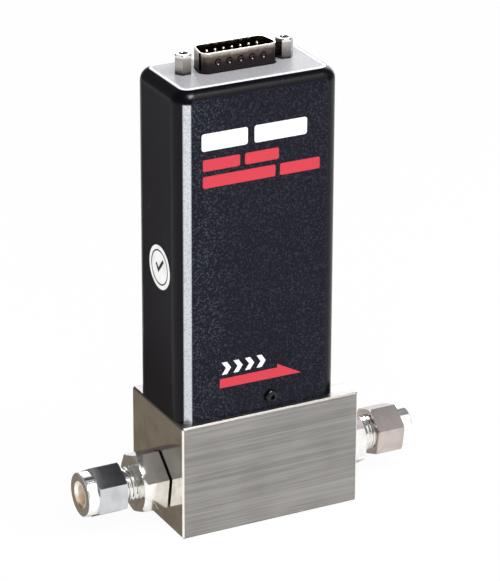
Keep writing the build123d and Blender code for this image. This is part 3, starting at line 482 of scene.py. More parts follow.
@dataclass(frozen=True)
class FittingSteel:
    """Fitting steel, with a lapped bore that scatters more light than the polished outside; inside the
    bore, light is painted near its top and shade towards its bottom.
    """

    name: str
    colour: Colour
    shade: Colour
    roughness: float
    bore_radius: float
    polished_from: float = 1.0
    spread: float = 0.10
    # Painted highlight: the brighter steel of the nut's end collar.
    polish: Colour = (0.95, 0.95, 0.94)
    # Painted light and shade inside the bore, from top to bottom.
    bore_colour: Colour = (1.0, 0.93, 0.84)
    bore_middle: Colour = (0.80, 0.60, 0.43)
    bore_shade: Colour = (0.14, 0.12, 0.045)
    bore_roughness: float = 0.42
    lines: float = 5200.0
    depth: float = 0.0000012
    across: float = 90.0

    def build(self) -> bpy.types.Material:
        """Makes the material."""
        graph = Graph(self.name)
        along, deep, height = graph.parts()
        up = height - axis_height()
        radius = (deep * deep + up * up).power(0.5)
        in_bore = graph.fade(radius, self.bore_radius, self.bore_radius + 0.0002)
        marks = graph.noise(1.0, 3.0, (self.lines, self.across, self.across), 0.55)
        cloud = graph.noise(260.0, 3.0)
        worn_colour = graph.blend(graph.ramp(cloud, 0.35, 0.70), self.colour, self.shade)
        # The nut's end collar gets a brighter steel colour, as a painted highlight.
        is_collar = along.size().above(self.polished_from)
        outside = graph.blend(is_collar, worn_colour, self.polish)
        # Painted light and shade in the bore: light near its top, shade towards its bottom.
        level = up + 0.0016 * (cloud - 0.5)
        lower = graph.blend(graph.ramp(level, -0.0040, -0.0025), self.bore_shade, self.bore_middle)
        inside = graph.blend(graph.ramp(level, -0.0022, -0.0002), lower, self.bore_colour)
        colour = graph.blend(in_bore, outside, inside)
        wear_and_highlight = self.roughness + self.spread * (marks - 0.5) + self.spread * (cloud - 0.5)
        roughness = wear_and_highlight * (1.0 - in_bore) + self.bore_roughness * in_bore
        normal = graph.bump(marks * 0.8 + cloud * 0.2, self.depth)
        metallic = 1.0 - 0.6 * in_bore
        return graph.surface(Base_Color=colour, Roughness=roughness, Metallic=metallic, Normal=normal)


@dataclass(frozen=True)
class DepthShadedSteel:
    """Steel with a painted highlight at its rim and painted shade below it, which darkens by depth below a
    node's top through a brownish tone to nearly black.
    """

    name: str
    node: str
    rim_colour: Colour
    colour: Colour
    brown: Colour
    rim: float
    light: float
    browned: float
    blackened: float
    black: Colour = (0.038, 0.030, 0.031)
    roughness: float = 0.18
    depth: float = 0.000001

    def build(self) -> bpy.types.Material:
        """Makes the material."""
        graph = Graph(self.name)
        cloud = graph.noise(420.0, 3.0)
        drawn = graph.noise(1.0, 2.0, (900.0, 900.0, 60.0))
        height = graph.parts()[2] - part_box(self.node)[1].z
        # Painted shade: darker with depth below the top, with an uneven edge.
        uneven = height + 0.0012 * (cloud - 0.5) + 0.0008 * (drawn - 0.5)
        low = graph.blend(graph.ramp(uneven, -self.blackened, -self.browned), self.black, self.brown)
        skirt = graph.blend(graph.ramp(uneven, -self.browned, -self.light), low, self.colour)
        # Painted highlight on the rim.
        is_rim = graph.ramp(height, -self.rim - 0.0004, -self.rim)
        colour = graph.blend(is_rim, skirt, self.rim_colour)
        roughness = self.roughness + 0.10 * (cloud - 0.5)
        normal = graph.bump(drawn, self.depth)
        return graph.surface(Base_Color=colour, Roughness=roughness, Metallic=1.0, Normal=normal)


@dataclass(frozen=True)
class MouldedPlastic:
    """Moulded plastic with a fine spark-eroded grain."""

    name: str
    colour: Colour
    shade: Colour
    roughness: float = 0.48
    grain: float = 2600.0
    depth: float = 0.00001

    def build(self) -> bpy.types.Material:
        """Makes the material."""
        graph = Graph(self.name)
        grain = graph.noise(self.grain, 2.0)
        cloud = graph.noise(180.0, 2.0)
        colour = graph.blend(graph.ramp(cloud, 0.35, 0.65), self.colour, self.shade)
        roughness = self.roughness + 0.12 * (grain - 0.5)
        return graph.surface(Base_Color=colour, Roughness=roughness, Normal=graph.bump(grain, self.depth))


@dataclass(frozen=True)
class Rubber:
    """Smooth black sealing rubber with a faint bloom."""

    name: str = "seal_rubber"
    colour: Colour = (0.018, 0.018, 0.018)
    bloom: Colour = (0.05, 0.05, 0.048)

    def build(self) -> bpy.types.Material:
        """Makes the material."""
        graph = Graph(self.name)
        cloud = graph.noise(900.0, 3.0)
        colour = graph.blend(graph.ramp(cloud, 0.55, 0.80), self.colour, self.bloom)
        roughness = 0.5 + 0.2 * (cloud - 0.5)
        return graph.surface(Base_Color=colour, Roughness=roughness, Normal=graph.bump(cloud, 0.000004))


@dataclass(frozen=True)
class ScreenInk:
    """Screen-printed ink: nearly flat, with a soft edge tone and pinholes."""

    name: str
    colour: Colour
    thin: Colour
    roughness: float = 0.50
    ior: float = 1.3

    def build(self) -> bpy.types.Material:
        """Makes the material."""
        graph = Graph(self.name)
        grain = graph.noise(2100.0, 2.0)
        cloud = graph.noise(140.0, 2.0)
        cover = graph.ramp(grain * 0.75 + cloud * 0.25, 0.60, 0.78)
        colour = graph.blend(cover, self.colour, self.thin)
        normal = graph.bump(grain, 0.000018)
        roughness = self.roughness + 0.1 * (grain - 0.5)
        return graph.surface(Base_Color=colour, Roughness=roughness, Normal=normal, IOR=self.ior)


@dataclass(frozen=True)
class BoardLaminate:
    """Green solder mask with copper tracks showing through as lighter lines."""

    name: str = "board_laminate"
    mask: Colour = (0.010, 0.085, 0.034)
    track: Colour = (0.030, 0.190, 0.070)

    def build(self) -> bpy.types.Material:
        """Makes the material."""
        graph = Graph(self.name)
        cells = graph.node(
            "ShaderNodeTexVoronoi",
            {"feature": "DISTANCE_TO_EDGE"},
            {"Vector": graph.place((1.0, 1.0, 0.35)), "Scale": 420.0},
        )
        track = graph.fade(graph.out(cells, "Distance"), 0.05, 0.09)
        colour = graph.blend(track, self.mask, self.track)
        normal = graph.bump(track, 0.00003)
        return graph.surface(Base_Color=colour, Roughness=0.28 + 0.1 * track, Normal=normal)


@dataclass(frozen=True)
class WoundWire:
    """Lacquered wire lying in close turns along an axis, with painted shade in the troughs between turns.
    """

    name: str = "lacquered_winding"
    colour: Colour = (0.62, 0.24, 0.09)
    shade: Colour = (0.22, 0.07, 0.025)
    turns: float = 2600.0
    axis: Axis = Axis.Z

    def build(self) -> bpy.types.Material:
        """Makes the material."""
        graph = Graph(self.name)
        along = graph.parts()[self.axis.value]
        wave = graph.math("SINE", along * (self.turns * 2.0 * math.pi), 0.0)
        height = graph.ramp(wave, -1.0, 1.0)
        # Painted shade in the troughs between turns.
        colour = graph.blend(height, self.shade, self.colour)
        roughness = 0.32 - 0.08 * height
        normal = graph.bump(height, 0.00012)
        return graph.surface(Base_Color=colour, Roughness=roughness, Metallic=0.85, Normal=normal)


@dataclass(frozen=True)
class LabelPaper:
    """Satin white label film."""

    name: str = "label_film"
    colour: Colour = (0.86, 0.86, 0.85)
    shade: Colour = (0.74, 0.74, 0.74)

    def build(self) -> bpy.types.Material:
        """Makes the material."""
        graph = Graph(self.name)
        cloud = graph.noise(300.0, 3.0)
        colour = graph.blend(graph.ramp(cloud, 0.40, 0.70), self.colour, self.shade)
        roughness = 0.45 + 0.1 * (cloud - 0.5)
        return graph.surface(Base_Color=colour, Roughness=roughness, Normal=graph.bump(cloud, 0.000006))


class Finish(Enum):
    """Every finish on the object, by the record's material slot."""

    BLOCK_STEEL = GroundSteel()
    COVER_PAINT = PowderCoat()
    POLISHED_STEEL = TurnedMetal(
        "polished_fitting_steel", (0.90, 0.89, 0.87), (0.80, 0.78, 0.75), 0.12, 0.08
    )
    TURNED_STEEL = TurnedMetal(
        "turned_steel", (0.68, 0.67, 0.65), (0.55, 0.54, 0.52), 0.26, 0.12, 3800.0, 0.000003
    )
    BLACKENED_STEEL = TurnedMetal(
        "blackened_steel",
        (0.018, 0.018, 0.020),
        (0.045, 0.045, 0.048),
        0.22,
        0.12,
        3000.0,
        0.000003,
        Axis.Y,
    )
    SPRING_STEEL = TurnedMetal("spring_wire", (0.55, 0.55, 0.57), (0.42, 0.42, 0.43), 0.22, 0.10, 4000.0)
    SOFT_IRON = TurnedMetal(
        "plated_iron", (0.56, 0.56, 0.55), (0.44, 0.43, 0.41), 0.30, 0.12, 3000.0, 0.000003, Axis.Z
    )
    BLACK_RUBBER = Rubber()
    SINTERED_STEEL = TurnedMetal(
        "sintered_metal", (0.46, 0.44, 0.41), (0.25, 0.24, 0.22), 0.62, 0.2, 4200.0, 0.00004
    )
    # Painted highlight at the rim and painted shade towards the shell's base.
    SHELL_PLATE = DepthShadedSteel(
        "shell_plate_painted_shade",
        "connector_shell",
        (0.80, 0.77, 0.73),
        (0.42, 0.375, 0.325),
        (0.085, 0.064, 0.057),
        rim=0.0,
        light=0.0001,
        browned=0.0016,
        blackened=0.0041,
    )
    INSULATOR_PLASTIC = MouldedPlastic(
        "insulator_moulding", (0.010, 0.005, 0.004), (0.018, 0.009, 0.007), 0.62
    )
    GOLD_CONTACT = TurnedMetal(
        "gold_contact", (0.84, 0.72, 0.52), (0.66, 0.52, 0.32), 0.16, 0.06, 3000.0, axis=Axis.Z
    )
    BOARD_LAMINATE = BoardLaminate()
    BRACKET_SHEET = TurnedMetal(
        "bracket_sheet", (0.72, 0.73, 0.74), (0.62, 0.63, 0.64), 0.34, 0.12, 2200.0, axis=Axis.Z
    )
    SPACER_METAL = TurnedMetal(
        "spacer_metal", (0.70, 0.70, 0.71), (0.60, 0.60, 0.61), 0.28, 0.1, 3000.0, axis=Axis.Y
    )
    CHIP_PLASTIC = MouldedPlastic("chip_package", (0.022, 0.022, 0.024), (0.040, 0.040, 0.043), 0.5)
    TRIMMER_PLASTIC = MouldedPlastic("trimmer_moulding", (0.02, 0.09, 0.40), (0.03, 0.12, 0.48), 0.32)
    CAPACITOR_METAL = TurnedMetal(
        "capacitor_can", (0.76, 0.76, 0.78), (0.66, 0.66, 0.68), 0.2, 0.08, 3000.0, axis=Axis.Y
    )
    COIL_WIRE = WoundWire()
    BOBBIN_PLASTIC = MouldedPlastic("bobbin_moulding", (0.66, 0.61, 0.50), (0.60, 0.55, 0.44), 0.46)
    YOKE_STEEL = TurnedMetal(
        "zinc_plated_steel", (0.62, 0.62, 0.56), (0.50, 0.50, 0.45), 0.3, 0.12, 2400.0, axis=Axis.Z
    )


class FinishShop:
    """Builds each finish once and puts it on the CAD nodes."""

    def __init__(self) -> None:
        """Starts with no material built."""
        self.made: dict[str, bpy.types.Material] = {}

    def get(self, finish: object) -> bpy.types.Material:
        """The material of a finish.

        Args:
            finish: a member of Finish, or a finish of its own.

        Returns:
            The material, built on first use.
        """
        recipe = finish.value if isinstance(finish, Finish) else finish
        if recipe.name not in self.made:
            self.made[recipe.name] = recipe.build()
        return self.made[recipe.name]

    @staticmethod
    def variants() -> dict[str, object]:
        """The finishes of nodes that differ from others in the same record slot."""
        polished_from = 0.0526
        nuts = {
            Side.INLET: FittingSteel(
                "satin_nut_steel", (0.60, 0.61, 0.62), (0.50, 0.51, 0.52), 0.16, 0.0042, polished_from
            ),
            # The outlet nut's warmer copy of the nut steel is a painted reflection tone.
            Side.OUTLET: FittingSteel(
                "outlet_nut_painted_reflection_tint", (0.58, 0.515, 0.48), (0.48, 0.430, 0.405), 0.16, 0.0042, polished_from
            ),
        }
        bright = FittingSteel("bright_body_steel", (0.93, 0.92, 0.90), (0.80, 0.78, 0.75), 0.10, 0.0034)
        ring = FittingSteel("ferrule_steel", (0.80, 0.76, 0.68), (0.70, 0.64, 0.55), 0.30, 0.0050)
        # Painted highlight at the top and painted shade towards the foot of each jackscrew.
        post = DepthShadedSteel(
            "jackscrew_painted_shade",
            "jackscrew_left",
            (0.70, 0.69, 0.66),
            (0.34, 0.325, 0.30),
            (0.24, 0.225, 0.205),
            rim=0.0008,
            light=0.0032,
            browned=0.0045,
            blackened=0.0061,
        )
        chosen = {"jackscrew_left": post, "jackscrew_right": post}
        for side, nut in nuts.items():
            end = side.name.lower()
            chosen |= {f"{end}_nut": nut, f"{end}_fitting_body": bright}
            chosen |= {f"{end}_front_ferrule": ring, f"{end}_back_ferrule": ring}
        return chosen

    def dress_nodes(self) -> None:
        """Gives every CAD node the finish that its record slot names, or its own variant."""
        variants = self.variants()
        for part in frame["record"]["subparts"]:
            finish = variants.get(part["node"], Finish[part["material_slot"].upper()])
            material = self.get(finish)
            mesh_object = frame["nodes"][part["node"]]
            if not mesh_object.material_slots:
                mesh_object.data.materials.append(material)
            for slot in mesh_object.material_slots:
                slot.material = material
        log.info("dressed %d nodes with %d finishes", len(frame["nodes"]), len(self.made))


# ---------------------------------------------------------------- modelling
class Bench:
    """Modelling moves shared by the pieces."""

    @staticmethod
    def clear() -> None:
        """Leaves nothing selected."""
        if bpy.context.object and bpy.context.object.mode != "OBJECT":
            bpy.ops.object.mode_set(mode="OBJECT")
        bpy.ops.object.select_all(action="DESELECT")

    @staticmethod
    def pick(piece: bpy.types.Object) -> None:
        """Selects one object and makes it active."""
        Bench.clear()
        piece.select_set(True)
        bpy.context.view_layer.objects.active = piece

    @staticmethod
    def settle(piece: bpy.types.Object, name: str, material: bpy.types.Material, slot: Finish) -> None:
        """Applies a piece's place, names and dresses it, and makes it ride.

        Args:
            piece: the finished mesh object.
            name: its name.
            material: its material.
            slot: the record slot that it belongs to; not used.
        """
        Bench.pick(piece)
        bpy.ops.object.transform_apply(location=True, rotation=True, scale=True)
        piece.name = name
        piece.data.name = name
        piece.data.materials.clear()
        piece.data.materials.append(material)
        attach(piece, BODY)
        log.info("%s: %d faces", name, len(piece.data.polygons))

    @staticmethod
    def modify(piece: bpy.types.Object, kind: str, **settings: object) -> None:
        """Adds a modifier and applies it.

        Args:
            piece: the object.
            kind: the modifier's type.
            **settings: its properties.
        """
        Bench.pick(piece)
        modifier = piece.modifiers.new(kind.lower(), kind)
        for name, value in settings.items():
            setattr(modifier, name, value)
        bpy.ops.object.modifier_apply(modifier=modifier.name)

    @staticmethod
    def join(pieces: list[bpy.types.Object]) -> bpy.types.Object:
        """Joins objects into the first."""
        Bench.clear()
        for piece in pieces:
            piece.select_set(True)
        bpy.context.view_layer.objects.active = pieces[0]
        if len(pieces) > 1:
            bpy.ops.object.join()
        return pieces[0]


@dataclass
class PrintedMark:
    """A flat printed shape, from corners in millimetres right of and above the cover's lower left."""

    corners: list[Pair]
    rounding: float = 0.0

    def make(self, origin: Vector, lift: float, thickness: float) -> bpy.types.Object:
        """Models the mark as a thin film.

        Args:
            origin: the lower left corner of the cover's front, in metres.
            lift: gap behind the film, in metres.
            thickness: the film's thickness, in metres.

        Returns:
            The film.
        """
        Bench.clear()
        bpy.ops.mesh.primitive_circle_add(vertices=len(self.corners), radius=MM, fill_type="NGON")
        film = bpy.context.object
        for vertex, (right, up) in zip(film.data.vertices, self.corners):
            vertex.co = origin + Vector((right * MM, -lift, up * MM))
        film.data.update()
        bpy.ops.object.mode_set(mode="EDIT")
        bpy.ops.mesh.select_all(action="SELECT")
        if self.rounding > 0:
            bpy.ops.mesh.bevel(offset=self.rounding * MM, segments=4, affect="VERTICES")
        bpy.ops.mesh.select_all(action="SELECT")
        bpy.ops.mesh.extrude_region_move(TRANSFORM_OT_translate={"value": (0.0, -thickness, 0.0)})
        bpy.ops.mesh.select_all(action="SELECT")
        bpy.ops.mesh.normals_make_consistent(inside=False)
        bpy.ops.object.mode_set(mode="OBJECT")
        return film


def bar(left: float, right: float, low: float, high: float, rounding: float) -> PrintedMark:
    """A rounded bar as a printed mark."""
    return PrintedMark([(left, low), (right, low), (right, high), (left, high)], rounding)


@dataclass
class CoverPrint:
    """The plain marks on the cover: bars, chevrons and the flow arrow."""

    lift: float = 0.00001
    thickness: float = 0.00003
    white: ScreenInk = ScreenInk("white_ink", (0.90, 0.90, 0.90), (0.72, 0.72, 0.72))
    red: ScreenInk = ScreenInk("red_ink", (0.57, 0.040, 0.062), (0.46, 0.032, 0.050))
    title_bars: list[PrintedMark] = field(
        default_factory=lambda: [bar(7.4, 22.5, 86.7, 92.1, 0.8), bar(24.7, 42.1, 86.7, 92.1, 0.8)]
    )
    line_bars: list[PrintedMark] = field(
        default_factory=lambda: [
            bar(7.8, 20.0, 80.4, 84.0, 0.6),
            bar(21.6, 32.8, 80.4, 84.0, 0.6),
            bar(7.8, 31.7, 75.1, 78.8, 0.6),
            bar(33.2, 46.5, 75.1, 78.8, 0.6),
        ]
    )
    arrow: PrintedMark = field(
        default_factory=lambda: PrintedMark(
            [(13.3, 9.9), (40.9, 9.7), (32.7, 14.1), (32.7, 12.9), (13.3, 12.9)]
        )
    )
    chevron_left: float = 14.0
    chevron_pitch: float = 3.9
    chevron_count: int = 4
    chevron_low: float = 14.2
    chevron_high: float = 18.2
    chevron_width: float = 1.7
    chevron_slope: float = 0.7

    def chevrons(self) -> list[PrintedMark]:
        """The row of chevrons above the arrow, pointing with the flow."""
        low, high, width = self.chevron_low, self.chevron_high, self.chevron_width
        middle = (low + high) / 2
        reach = (high - low) / 2 * self.chevron_slope
        marks = []
        for index in range(self.chevron_count):
            left = self.chevron_left + index * self.chevron_pitch
            point, notch = (left + width + reach, middle), (left + reach, middle)
            corners = [(left, low), (left + width, low), point, (left + width, high), (left, high), notch]
            marks.append(PrintedMark(corners))
        return marks

    def build(self, shop: FinishShop) -> None:
        """Prints all marks on the cover.

        Args:
            shop: the finishes.
        """
        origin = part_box("cover")[0]
        groups = {
            "title_print": (self.title_bars, self.white),
            "line_print": (self.line_bars, self.red),
            "flow_chevrons": (self.chevrons(), self.white),
            "flow_arrow": ([self.arrow], self.red),
        }
        for name, (marks, ink) in groups.items():
            films = [mark.make(origin, self.lift, self.thickness) for mark in marks]
            Bench.settle(Bench.join(films), name, shop.get(ink), Finish.COVER_PAINT)


@dataclass
class CheckLabel:
    """The round film label on the cover's left side, with a plain ring and tick."""

    from_front: float = 13.3
    above_block: float = 46.9
    radius: float = 6.9
    thickness: float = 0.08
    ink_gap: float = 0.004
    ink_thickness: float = 0.01
    ring_radius: float = 5.6
    ring_width: float = 0.5
    tick: list[Pair] = field(
        default_factory=lambda: [
            (-2.6, 0.6),
            (-0.8, -1.9),
            (3.0, 2.5),
            (2.2, 3.2),
            (-0.7, -0.2),
            (-1.8, 1.2),
        ]
    )

    def build(self, shop: FinishShop) -> None:
        """Models the label and its marks.

        Args:
            shop: the finishes.
        """
        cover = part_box("cover")[0]
        centre = cover + Vector((0.0, self.from_front * MM, self.above_block * MM))
        outwards = (0.0, math.radians(-90), 0.0)
        Bench.clear()
        bpy.ops.mesh.primitive_cylinder_add(
            vertices=64,
            radius=self.radius * MM,
            depth=self.thickness * MM,
            location=centre + Vector((-self.thickness / 2 * MM, 0, 0)),
            rotation=outwards,
        )
        disc = bpy.context.object
        Bench.modify(disc, "BEVEL", width=0.02 * MM, segments=2, limit_method="ANGLE")
        Bench.settle(disc, "check_label", shop.get(LabelPaper()), Finish.COVER_PAINT)

        surface_x = cover.x - (self.thickness + self.ink_gap) * MM
        Bench.clear()
        bpy.ops.mesh.primitive_circle_add(
            vertices=64,
            radius=self.ring_radius * MM,
            fill_type="NGON",
            location=(surface_x, centre.y, centre.z),
            rotation=outwards,
        )
        ring = bpy.context.object
        bpy.ops.object.mode_set(mode="EDIT")
        bpy.ops.mesh.select_mode(type="FACE")
        bpy.ops.mesh.select_all(action="SELECT")
        bpy.ops.mesh.inset(thickness=self.ring_width * MM)
        bpy.ops.mesh.delete(type="FACE")
        bpy.ops.object.mode_set(mode="OBJECT")
        Bench.modify(ring, "SOLIDIFY", thickness=self.ink_thickness * MM)

        bpy.ops.mesh.primitive_circle_add(vertices=len(self.tick), radius=MM, fill_type="NGON")
        tick = bpy.context.object
        for vertex, (across, up) in zip(tick.data.vertices, self.tick):
            vertex.co = Vector((surface_x, centre.y - across * MM, centre.z + up * MM))
        Bench.modify(tick, "SOLIDIFY", thickness=self.ink_thickness * MM, offset=0.0)
        ink = ScreenInk("black_ink", (0.012, 0.012, 0.012), (0.03, 0.03, 0.03))
        Bench.settle(Bench.join([ring, tick]), "check_label_marks", shop.get(ink), Finish.COVER_PAINT)


@dataclass
class NeckThread:
    """The thread that shows between a fitting's hexagon and its nut."""

    side: Side
    crest: float = 5.55
    root: float = 5.04
    pitch: float = 1.27
    shown: float = 5.0
    wall: float = 0.25
    segments: int = 72

    def build(self, shop: FinishShop) -> None:
        """Winds the thread round the neck.

        Args:
            shop: the finishes.
        """
        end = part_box("outlet_nut")[0].x / MM
        start = end - self.shown
        turns = math.ceil(self.shown / self.pitch) + 2
        Bench.clear()
        bpy.ops.mesh.primitive_circle_add(vertices=5, radius=MM)
        profile = bpy.context.object
        bpy.ops.object.mode_set(mode="EDIT")
        bpy.ops.mesh.select_mode(type="EDGE")
        bpy.ops.mesh.select_all(action="DESELECT")
        bpy.ops.object.mode_set(mode="OBJECT")
        root, crest = self.root, self.crest
        points = [(0.0, root), (0.12, root), (0.52, crest), (0.66, crest), (1.0, root)]
        for vertex, (share, radius) in zip(profile.data.vertices, points):
            vertex.co = Vector((share * self.pitch * MM, radius * MM, 0.0))
        first, last = 0, len(points) - 1
        for edge in profile.data.edges:
            edge.select = set(edge.vertices) == {first, last}
        bpy.ops.object.mode_set(mode="EDIT")
        bpy.ops.mesh.delete(type="EDGE")
        bpy.ops.object.mode_set(mode="OBJECT")
        Bench.modify(
            profile,
            "SCREW",
            axis="X",
            screw_offset=self.pitch * MM,
            iterations=turns,
            steps=self.segments,
            render_steps=self.segments,
            use_merge_vertices=True,
            merge_threshold=0.00001 * MM,
            use_smooth_shade=False,
        )
        Bench.pick(profile)
        profile.location = ((start - self.pitch) * MM, 0.0, axis_height())
        bpy.ops.object.transform_apply(location=True)
        bpy.ops.object.mode_set(mode="EDIT")
        for cut, outer in ((start, False), (end, True)):
            bpy.ops.mesh.select_all(action="SELECT")
            bpy.ops.mesh.bisect(
                plane_co=(cut * MM, 0.0, 0.0),
                plane_no=(1.0, 0.0, 0.0),
                clear_inner=not outer,
                clear_outer=outer,
            )
        bpy.ops.mesh.select_all(action="SELECT")
        bpy.ops.mesh.remove_doubles(threshold=0.0001 * MM)
        bpy.ops.mesh.normals_make_consistent(inside=False)
        bpy.ops.object.mode_set(mode="OBJECT")
        if self.side is Side.INLET:
            profile.rotation_euler = (0.0, 0.0, math.pi)
            bpy.ops.object.transform_apply(rotation=True)
        Bench.modify(profile, "SOLIDIFY", thickness=self.wall * MM, offset=-1.0)
        Bench.pick(profile)
        bpy.ops.object.shade_smooth_by_angle(angle=math.radians(24))
        slot = Finish.POLISHED_STEEL
        Bench.settle(profile, f"{self.side.name.lower()}_neck_thread", shop.get(slot), slot)


# ---------------------------------------------------------------- studio
@dataclass(frozen=True)
class SoftBox:
    """One area light, aimed at a point and seen by matt surfaces only."""

    name: str
    place: Triple
    aim: Triple
    width: float
    height: float
    radiance: float

    def build(self) -> None:
        """Hangs the light."""
        data = bpy.data.lights.new(self.name, "AREA")
        data.shape = "RECTANGLE"
        data.size = self.width
        data.size_y = self.height
        data.energy = self.radiance * math.pi * self.width * self.height
        lamp = bpy.data.objects.new(self.name, data)
        lamp.location = self.place
        lamp.rotation_euler = (Vector(self.aim) - Vector(self.place)).to_track_quat("-Z", "Y").to_euler()
        lamp.visible_camera = False
        lamp.visible_glossy = False
        bpy.context.scene.collection.objects.link(lamp)


def heading(azimuth: float, elevation: float) -> Vector:
    """A direction from the object, with azimuth from -Y towards +X.

    Args:
        azimuth: degrees round +Z.
        elevation: degrees above the floor.

    Returns:
        The unit vector.
    """
    turn, rise = math.radians(azimuth), math.radians(elevation)
    return Vector((math.sin(turn) * math.cos(rise), -math.cos(turn) * math.cos(rise), math.sin(rise)))


@dataclass(frozen=True)
class Card:
    """A flat glowing card that only polished surfaces see, from its corners in order."""

    name: str
    corners: tuple[Triple, ...]
    colour: Colour

    def build(self) -> None:
        """Stands the card."""
        Bench.clear()
        bpy.ops.mesh.primitive_circle_add(vertices=len(self.corners), radius=1.0, fill_type="NGON")
        card = bpy.context.object
        card.name = self.name
        for vertex, corner in zip(card.data.vertices, self.corners):
            vertex.co = Vector(corner)
        card.data.update()
        graph = Graph(self.name)
        glow = graph.node("ShaderNodeEmission", {}, {"Color": (*self.colour, 1.0), "Strength": 1.0})
        graph.end(glow)
        card.data.materials.append(graph.owner)
        card.visible_camera = False
        card.visible_diffuse = False
        card.visible_shadow = False
        card.visible_transmission = False


def sky_card(name: str, azimuth: Pair, elevation: Pair, colour: Colour) -> Card:
    """A card that fills a patch of the sky round the object.

    Args:
        name: the card's name.
        azimuth: its two edges, in degrees from -Y towards +X.
        elevation: its lower and upper edge, in degrees.
        colour: its radiance.

    Returns:
        The card.
    """
    distance, height = 1.3, 0.08
    left, right = azimuth
    low, high = elevation
    points = [heading(a, e) * distance for a, e in ((left, low), (right, low), (right, high), (left, high))]
    return Card(name, tuple((p.x, p.y, p.z + height) for p in points), colour)


def level_card(name: str, corners: tuple[Pair, ...], height: float, colour: Colour) -> Card:
    """A card that lies level.

    Args:
        name: the card's name.
        corners: its corners in plan, in metres and in order.
        height: its height over the floor, in metres.
        colour: its radiance.

    Returns:
        The card.
    """
    return Card(name, tuple((x, y, height) for x, y in corners), colour)


def overhead_card(name: str, across: Pair, colour: Colour) -> Card:
    """A level card high over the object.

    Args:
        name: the card's name.
        across: its two edges along X, in metres.
        colour: its radiance.

    Returns:
        The card.
    """
    left, right = across
    near, far = -0.07, 0.35
    return level_card(name, ((left, near), (right, near), (right, far), (left, far)), 0.7, colour)


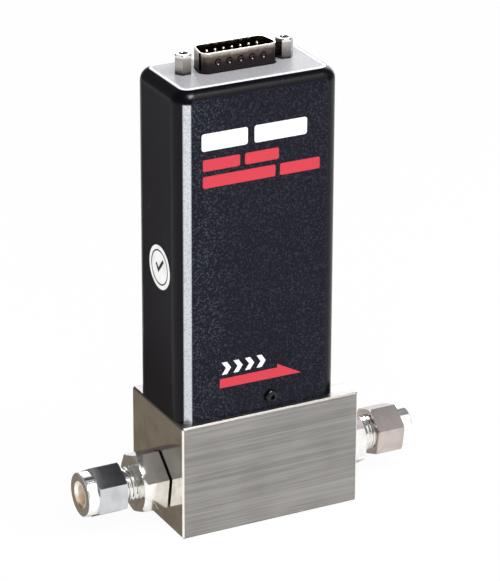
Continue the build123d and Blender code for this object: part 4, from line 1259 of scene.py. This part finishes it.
@dataclass
class Studio:
    """Pale floor, soft lights and the camera."""

    azimuth: float = -27.326
    elevation: float = 23.045
    roll: float = 0.214
    distance: float = 1016.64
    target: Triple = (1.614, 0.0, 69.539)
    lens: float = 207.35
    floor_size: float = 4.0
    floor_colour: Colour = (0.90, 0.90, 0.90)
    floor_white: float = 0.95
    world_fill: float = 0.55
    world_gloss: float = 0.30

    def camera(self) -> None:
        """Places the camera."""
        a, e = math.radians(self.azimuth), math.radians(self.elevation)
        back = Vector((math.sin(a) * math.cos(e), -math.cos(a) * math.cos(e), math.sin(e)))
        right = (-back).cross(Vector((0.0, 0.0, 1.0))).normalized()
        up = right.cross(-back)
        turn = math.radians(self.roll)
        across = right * math.cos(turn) + up * math.sin(turn)
        upright = up * math.cos(turn) - right * math.sin(turn)
        place = (Vector(self.target) + back * self.distance) * MM
        data = bpy.data.cameras.new("camera")
        data.sensor_width = 36.0
        data.lens = self.lens
        data.clip_start = 0.01
        lens_object = bpy.data.objects.new("camera", data)
        turned = Matrix((across, upright, back)).transposed().to_4x4()
        lens_object.matrix_world = Matrix.Translation(place) @ turned
        bpy.context.scene.collection.objects.link(lens_object)
        bpy.context.scene.camera = lens_object

    def floor(self) -> None:
        """Lays the pale floor, which the camera sees nearly white."""
        Bench.clear()
        bpy.ops.mesh.primitive_plane_add(size=self.floor_size)
        floor = bpy.context.object
        floor.name = "floor"
        graph = Graph("pale_floor")
        grain = graph.noise(60.0, 2.0)
        colour = graph.blend(grain, self.floor_colour, tuple(value * 0.985 for value in self.floor_colour))
        matt = graph.node("ShaderNodeBsdfDiffuse", {}, {"Color": colour})
        glow = graph.node("ShaderNodeEmission", {}, {"Color": (1.0, 1.0, 1.0, 1.0), "Strength": 1.0})
        rays = graph.node("ShaderNodeLightPath")
        seen = graph.out(rays, "Is Camera Ray") * self.floor_white
        graph.end(graph.node("ShaderNodeMixShader", {}, {0: seen, 1: graph.out(matt), 2: graph.out(glow)}))
        floor.data.materials.append(graph.owner)

    def world(self) -> None:
        """Sets a white surround for the camera, a grey one for glossy rays and a plain fill."""
        graph = Graph("studio", bpy.data.worlds.new("studio"))
        bpy.context.scene.world = graph.owner
        rays = graph.node("ShaderNodeLightPath")
        strength = self.world_fill
        for ray, level in (("Is Glossy Ray", self.world_gloss), ("Is Camera Ray", 1.0)):
            choice = graph.node("ShaderNodeMix", {}, {0: graph.out(rays, ray), 2: strength, 3: level})
            strength = graph.out(choice, 0)
        background = graph.node("ShaderNodeBackground", {}, {"Strength": strength})
        graph.end(background, "ShaderNodeOutputWorld")

    def lights(self) -> list[SoftBox]:
        """The soft lights, which set the level of matt surfaces."""
        centre = (0.0, 0.0, 0.08)
        return [
            SoftBox("key_softbox", tuple(heading(-30, 45) * 1.2), centre, 0.8, 0.8, 4.2),
            SoftBox("fill_softbox", tuple(heading(50, 50) * 1.2), centre, 0.8, 0.8, 3.5),
            SoftBox("side_softbox", tuple(heading(-80, 14) * 1.1), centre, 0.4, 0.4, 5.5),
        ]

    def cards(self) -> list[Card]:
        """What polished and glossy surfaces see round the object."""
        slate = (0.09, 0.10, 0.12)
        return [
            sky_card("back_panel", (118, 161), (-3, 24), (3.0, 3.0, 3.1)),
            sky_card("rim_panel", (118, 161), (24, 34), (6.0, 6.0, 6.2)),
            sky_card("back_high_panel", (118, 161), (34, 53), (1.1, 1.1, 1.1)),
            sky_card("front_panel", (10, 62), (24, 53), (1.15, 1.15, 1.15)),
            sky_card("front_low_panel", (8, 50), (-3, 24), (1.1, 1.1, 1.1)),
            sky_card("key_panel", (-12, 28), (42, 65), (36.0, 36.0, 37.0)),
            sky_card("corner_panel", (28, 37), (51, 58), (24.0, 24.0, 25.0)),
            sky_card("nut_flag", (46, 76), (54, 72), (0.10, 0.11, 0.15)),
            overhead_card("overhead_flag", (0.05, 0.35), slate),
            overhead_card("mauve_flag", (0.36, 0.4), (0.68, 0.61, 0.65)),
            overhead_card("outlet_flag", (0.4, 0.7), slate),
            level_card(
                "near_left_card",
                (
                    (-0.0301, -0.0176),
                    (-0.0301, 0.13),
                    (-0.100, 0.13),
                    (-0.075, 0.0065),
                    (-0.0615, 0.0065),
                    (-0.044, -0.0025),
                    (-0.0375, -0.0035),
                ),
                0.0004,
                (0.205, 0.180, 0.148),
            ),
            level_card(
                "far_left_card",
                ((-0.066, 0.055), (-0.066, 0.20), (-0.26, 0.60), (-0.26, 0.40)),
                0.0008,
                (0.10, 0.075, 0.085),
            ),
        ]

    def build(self) -> None:
        """Sets up the whole studio."""
        self.world()
        self.floor()
        for light in self.lights():
            light.build()
        for card in self.cards():
            card.build()
        self.camera()
        bpy.context.scene.view_settings.view_transform = "Standard"
        log.info("studio: %d lights, %d cards", len(self.lights()), len(self.cards()))


def main() -> None:
    """Dresses the part and sets up the studio."""
    logging.basicConfig(level=logging.INFO, format="%(message)s")
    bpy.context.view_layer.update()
    shop = FinishShop()
    shop.dress_nodes()
    CoverPrint().build(shop)
    CheckLabel().build(shop)
    for side in Side:
        NeckThread(side).build(shop)
    Studio().build()


if __name__ == "__main__":
    main()
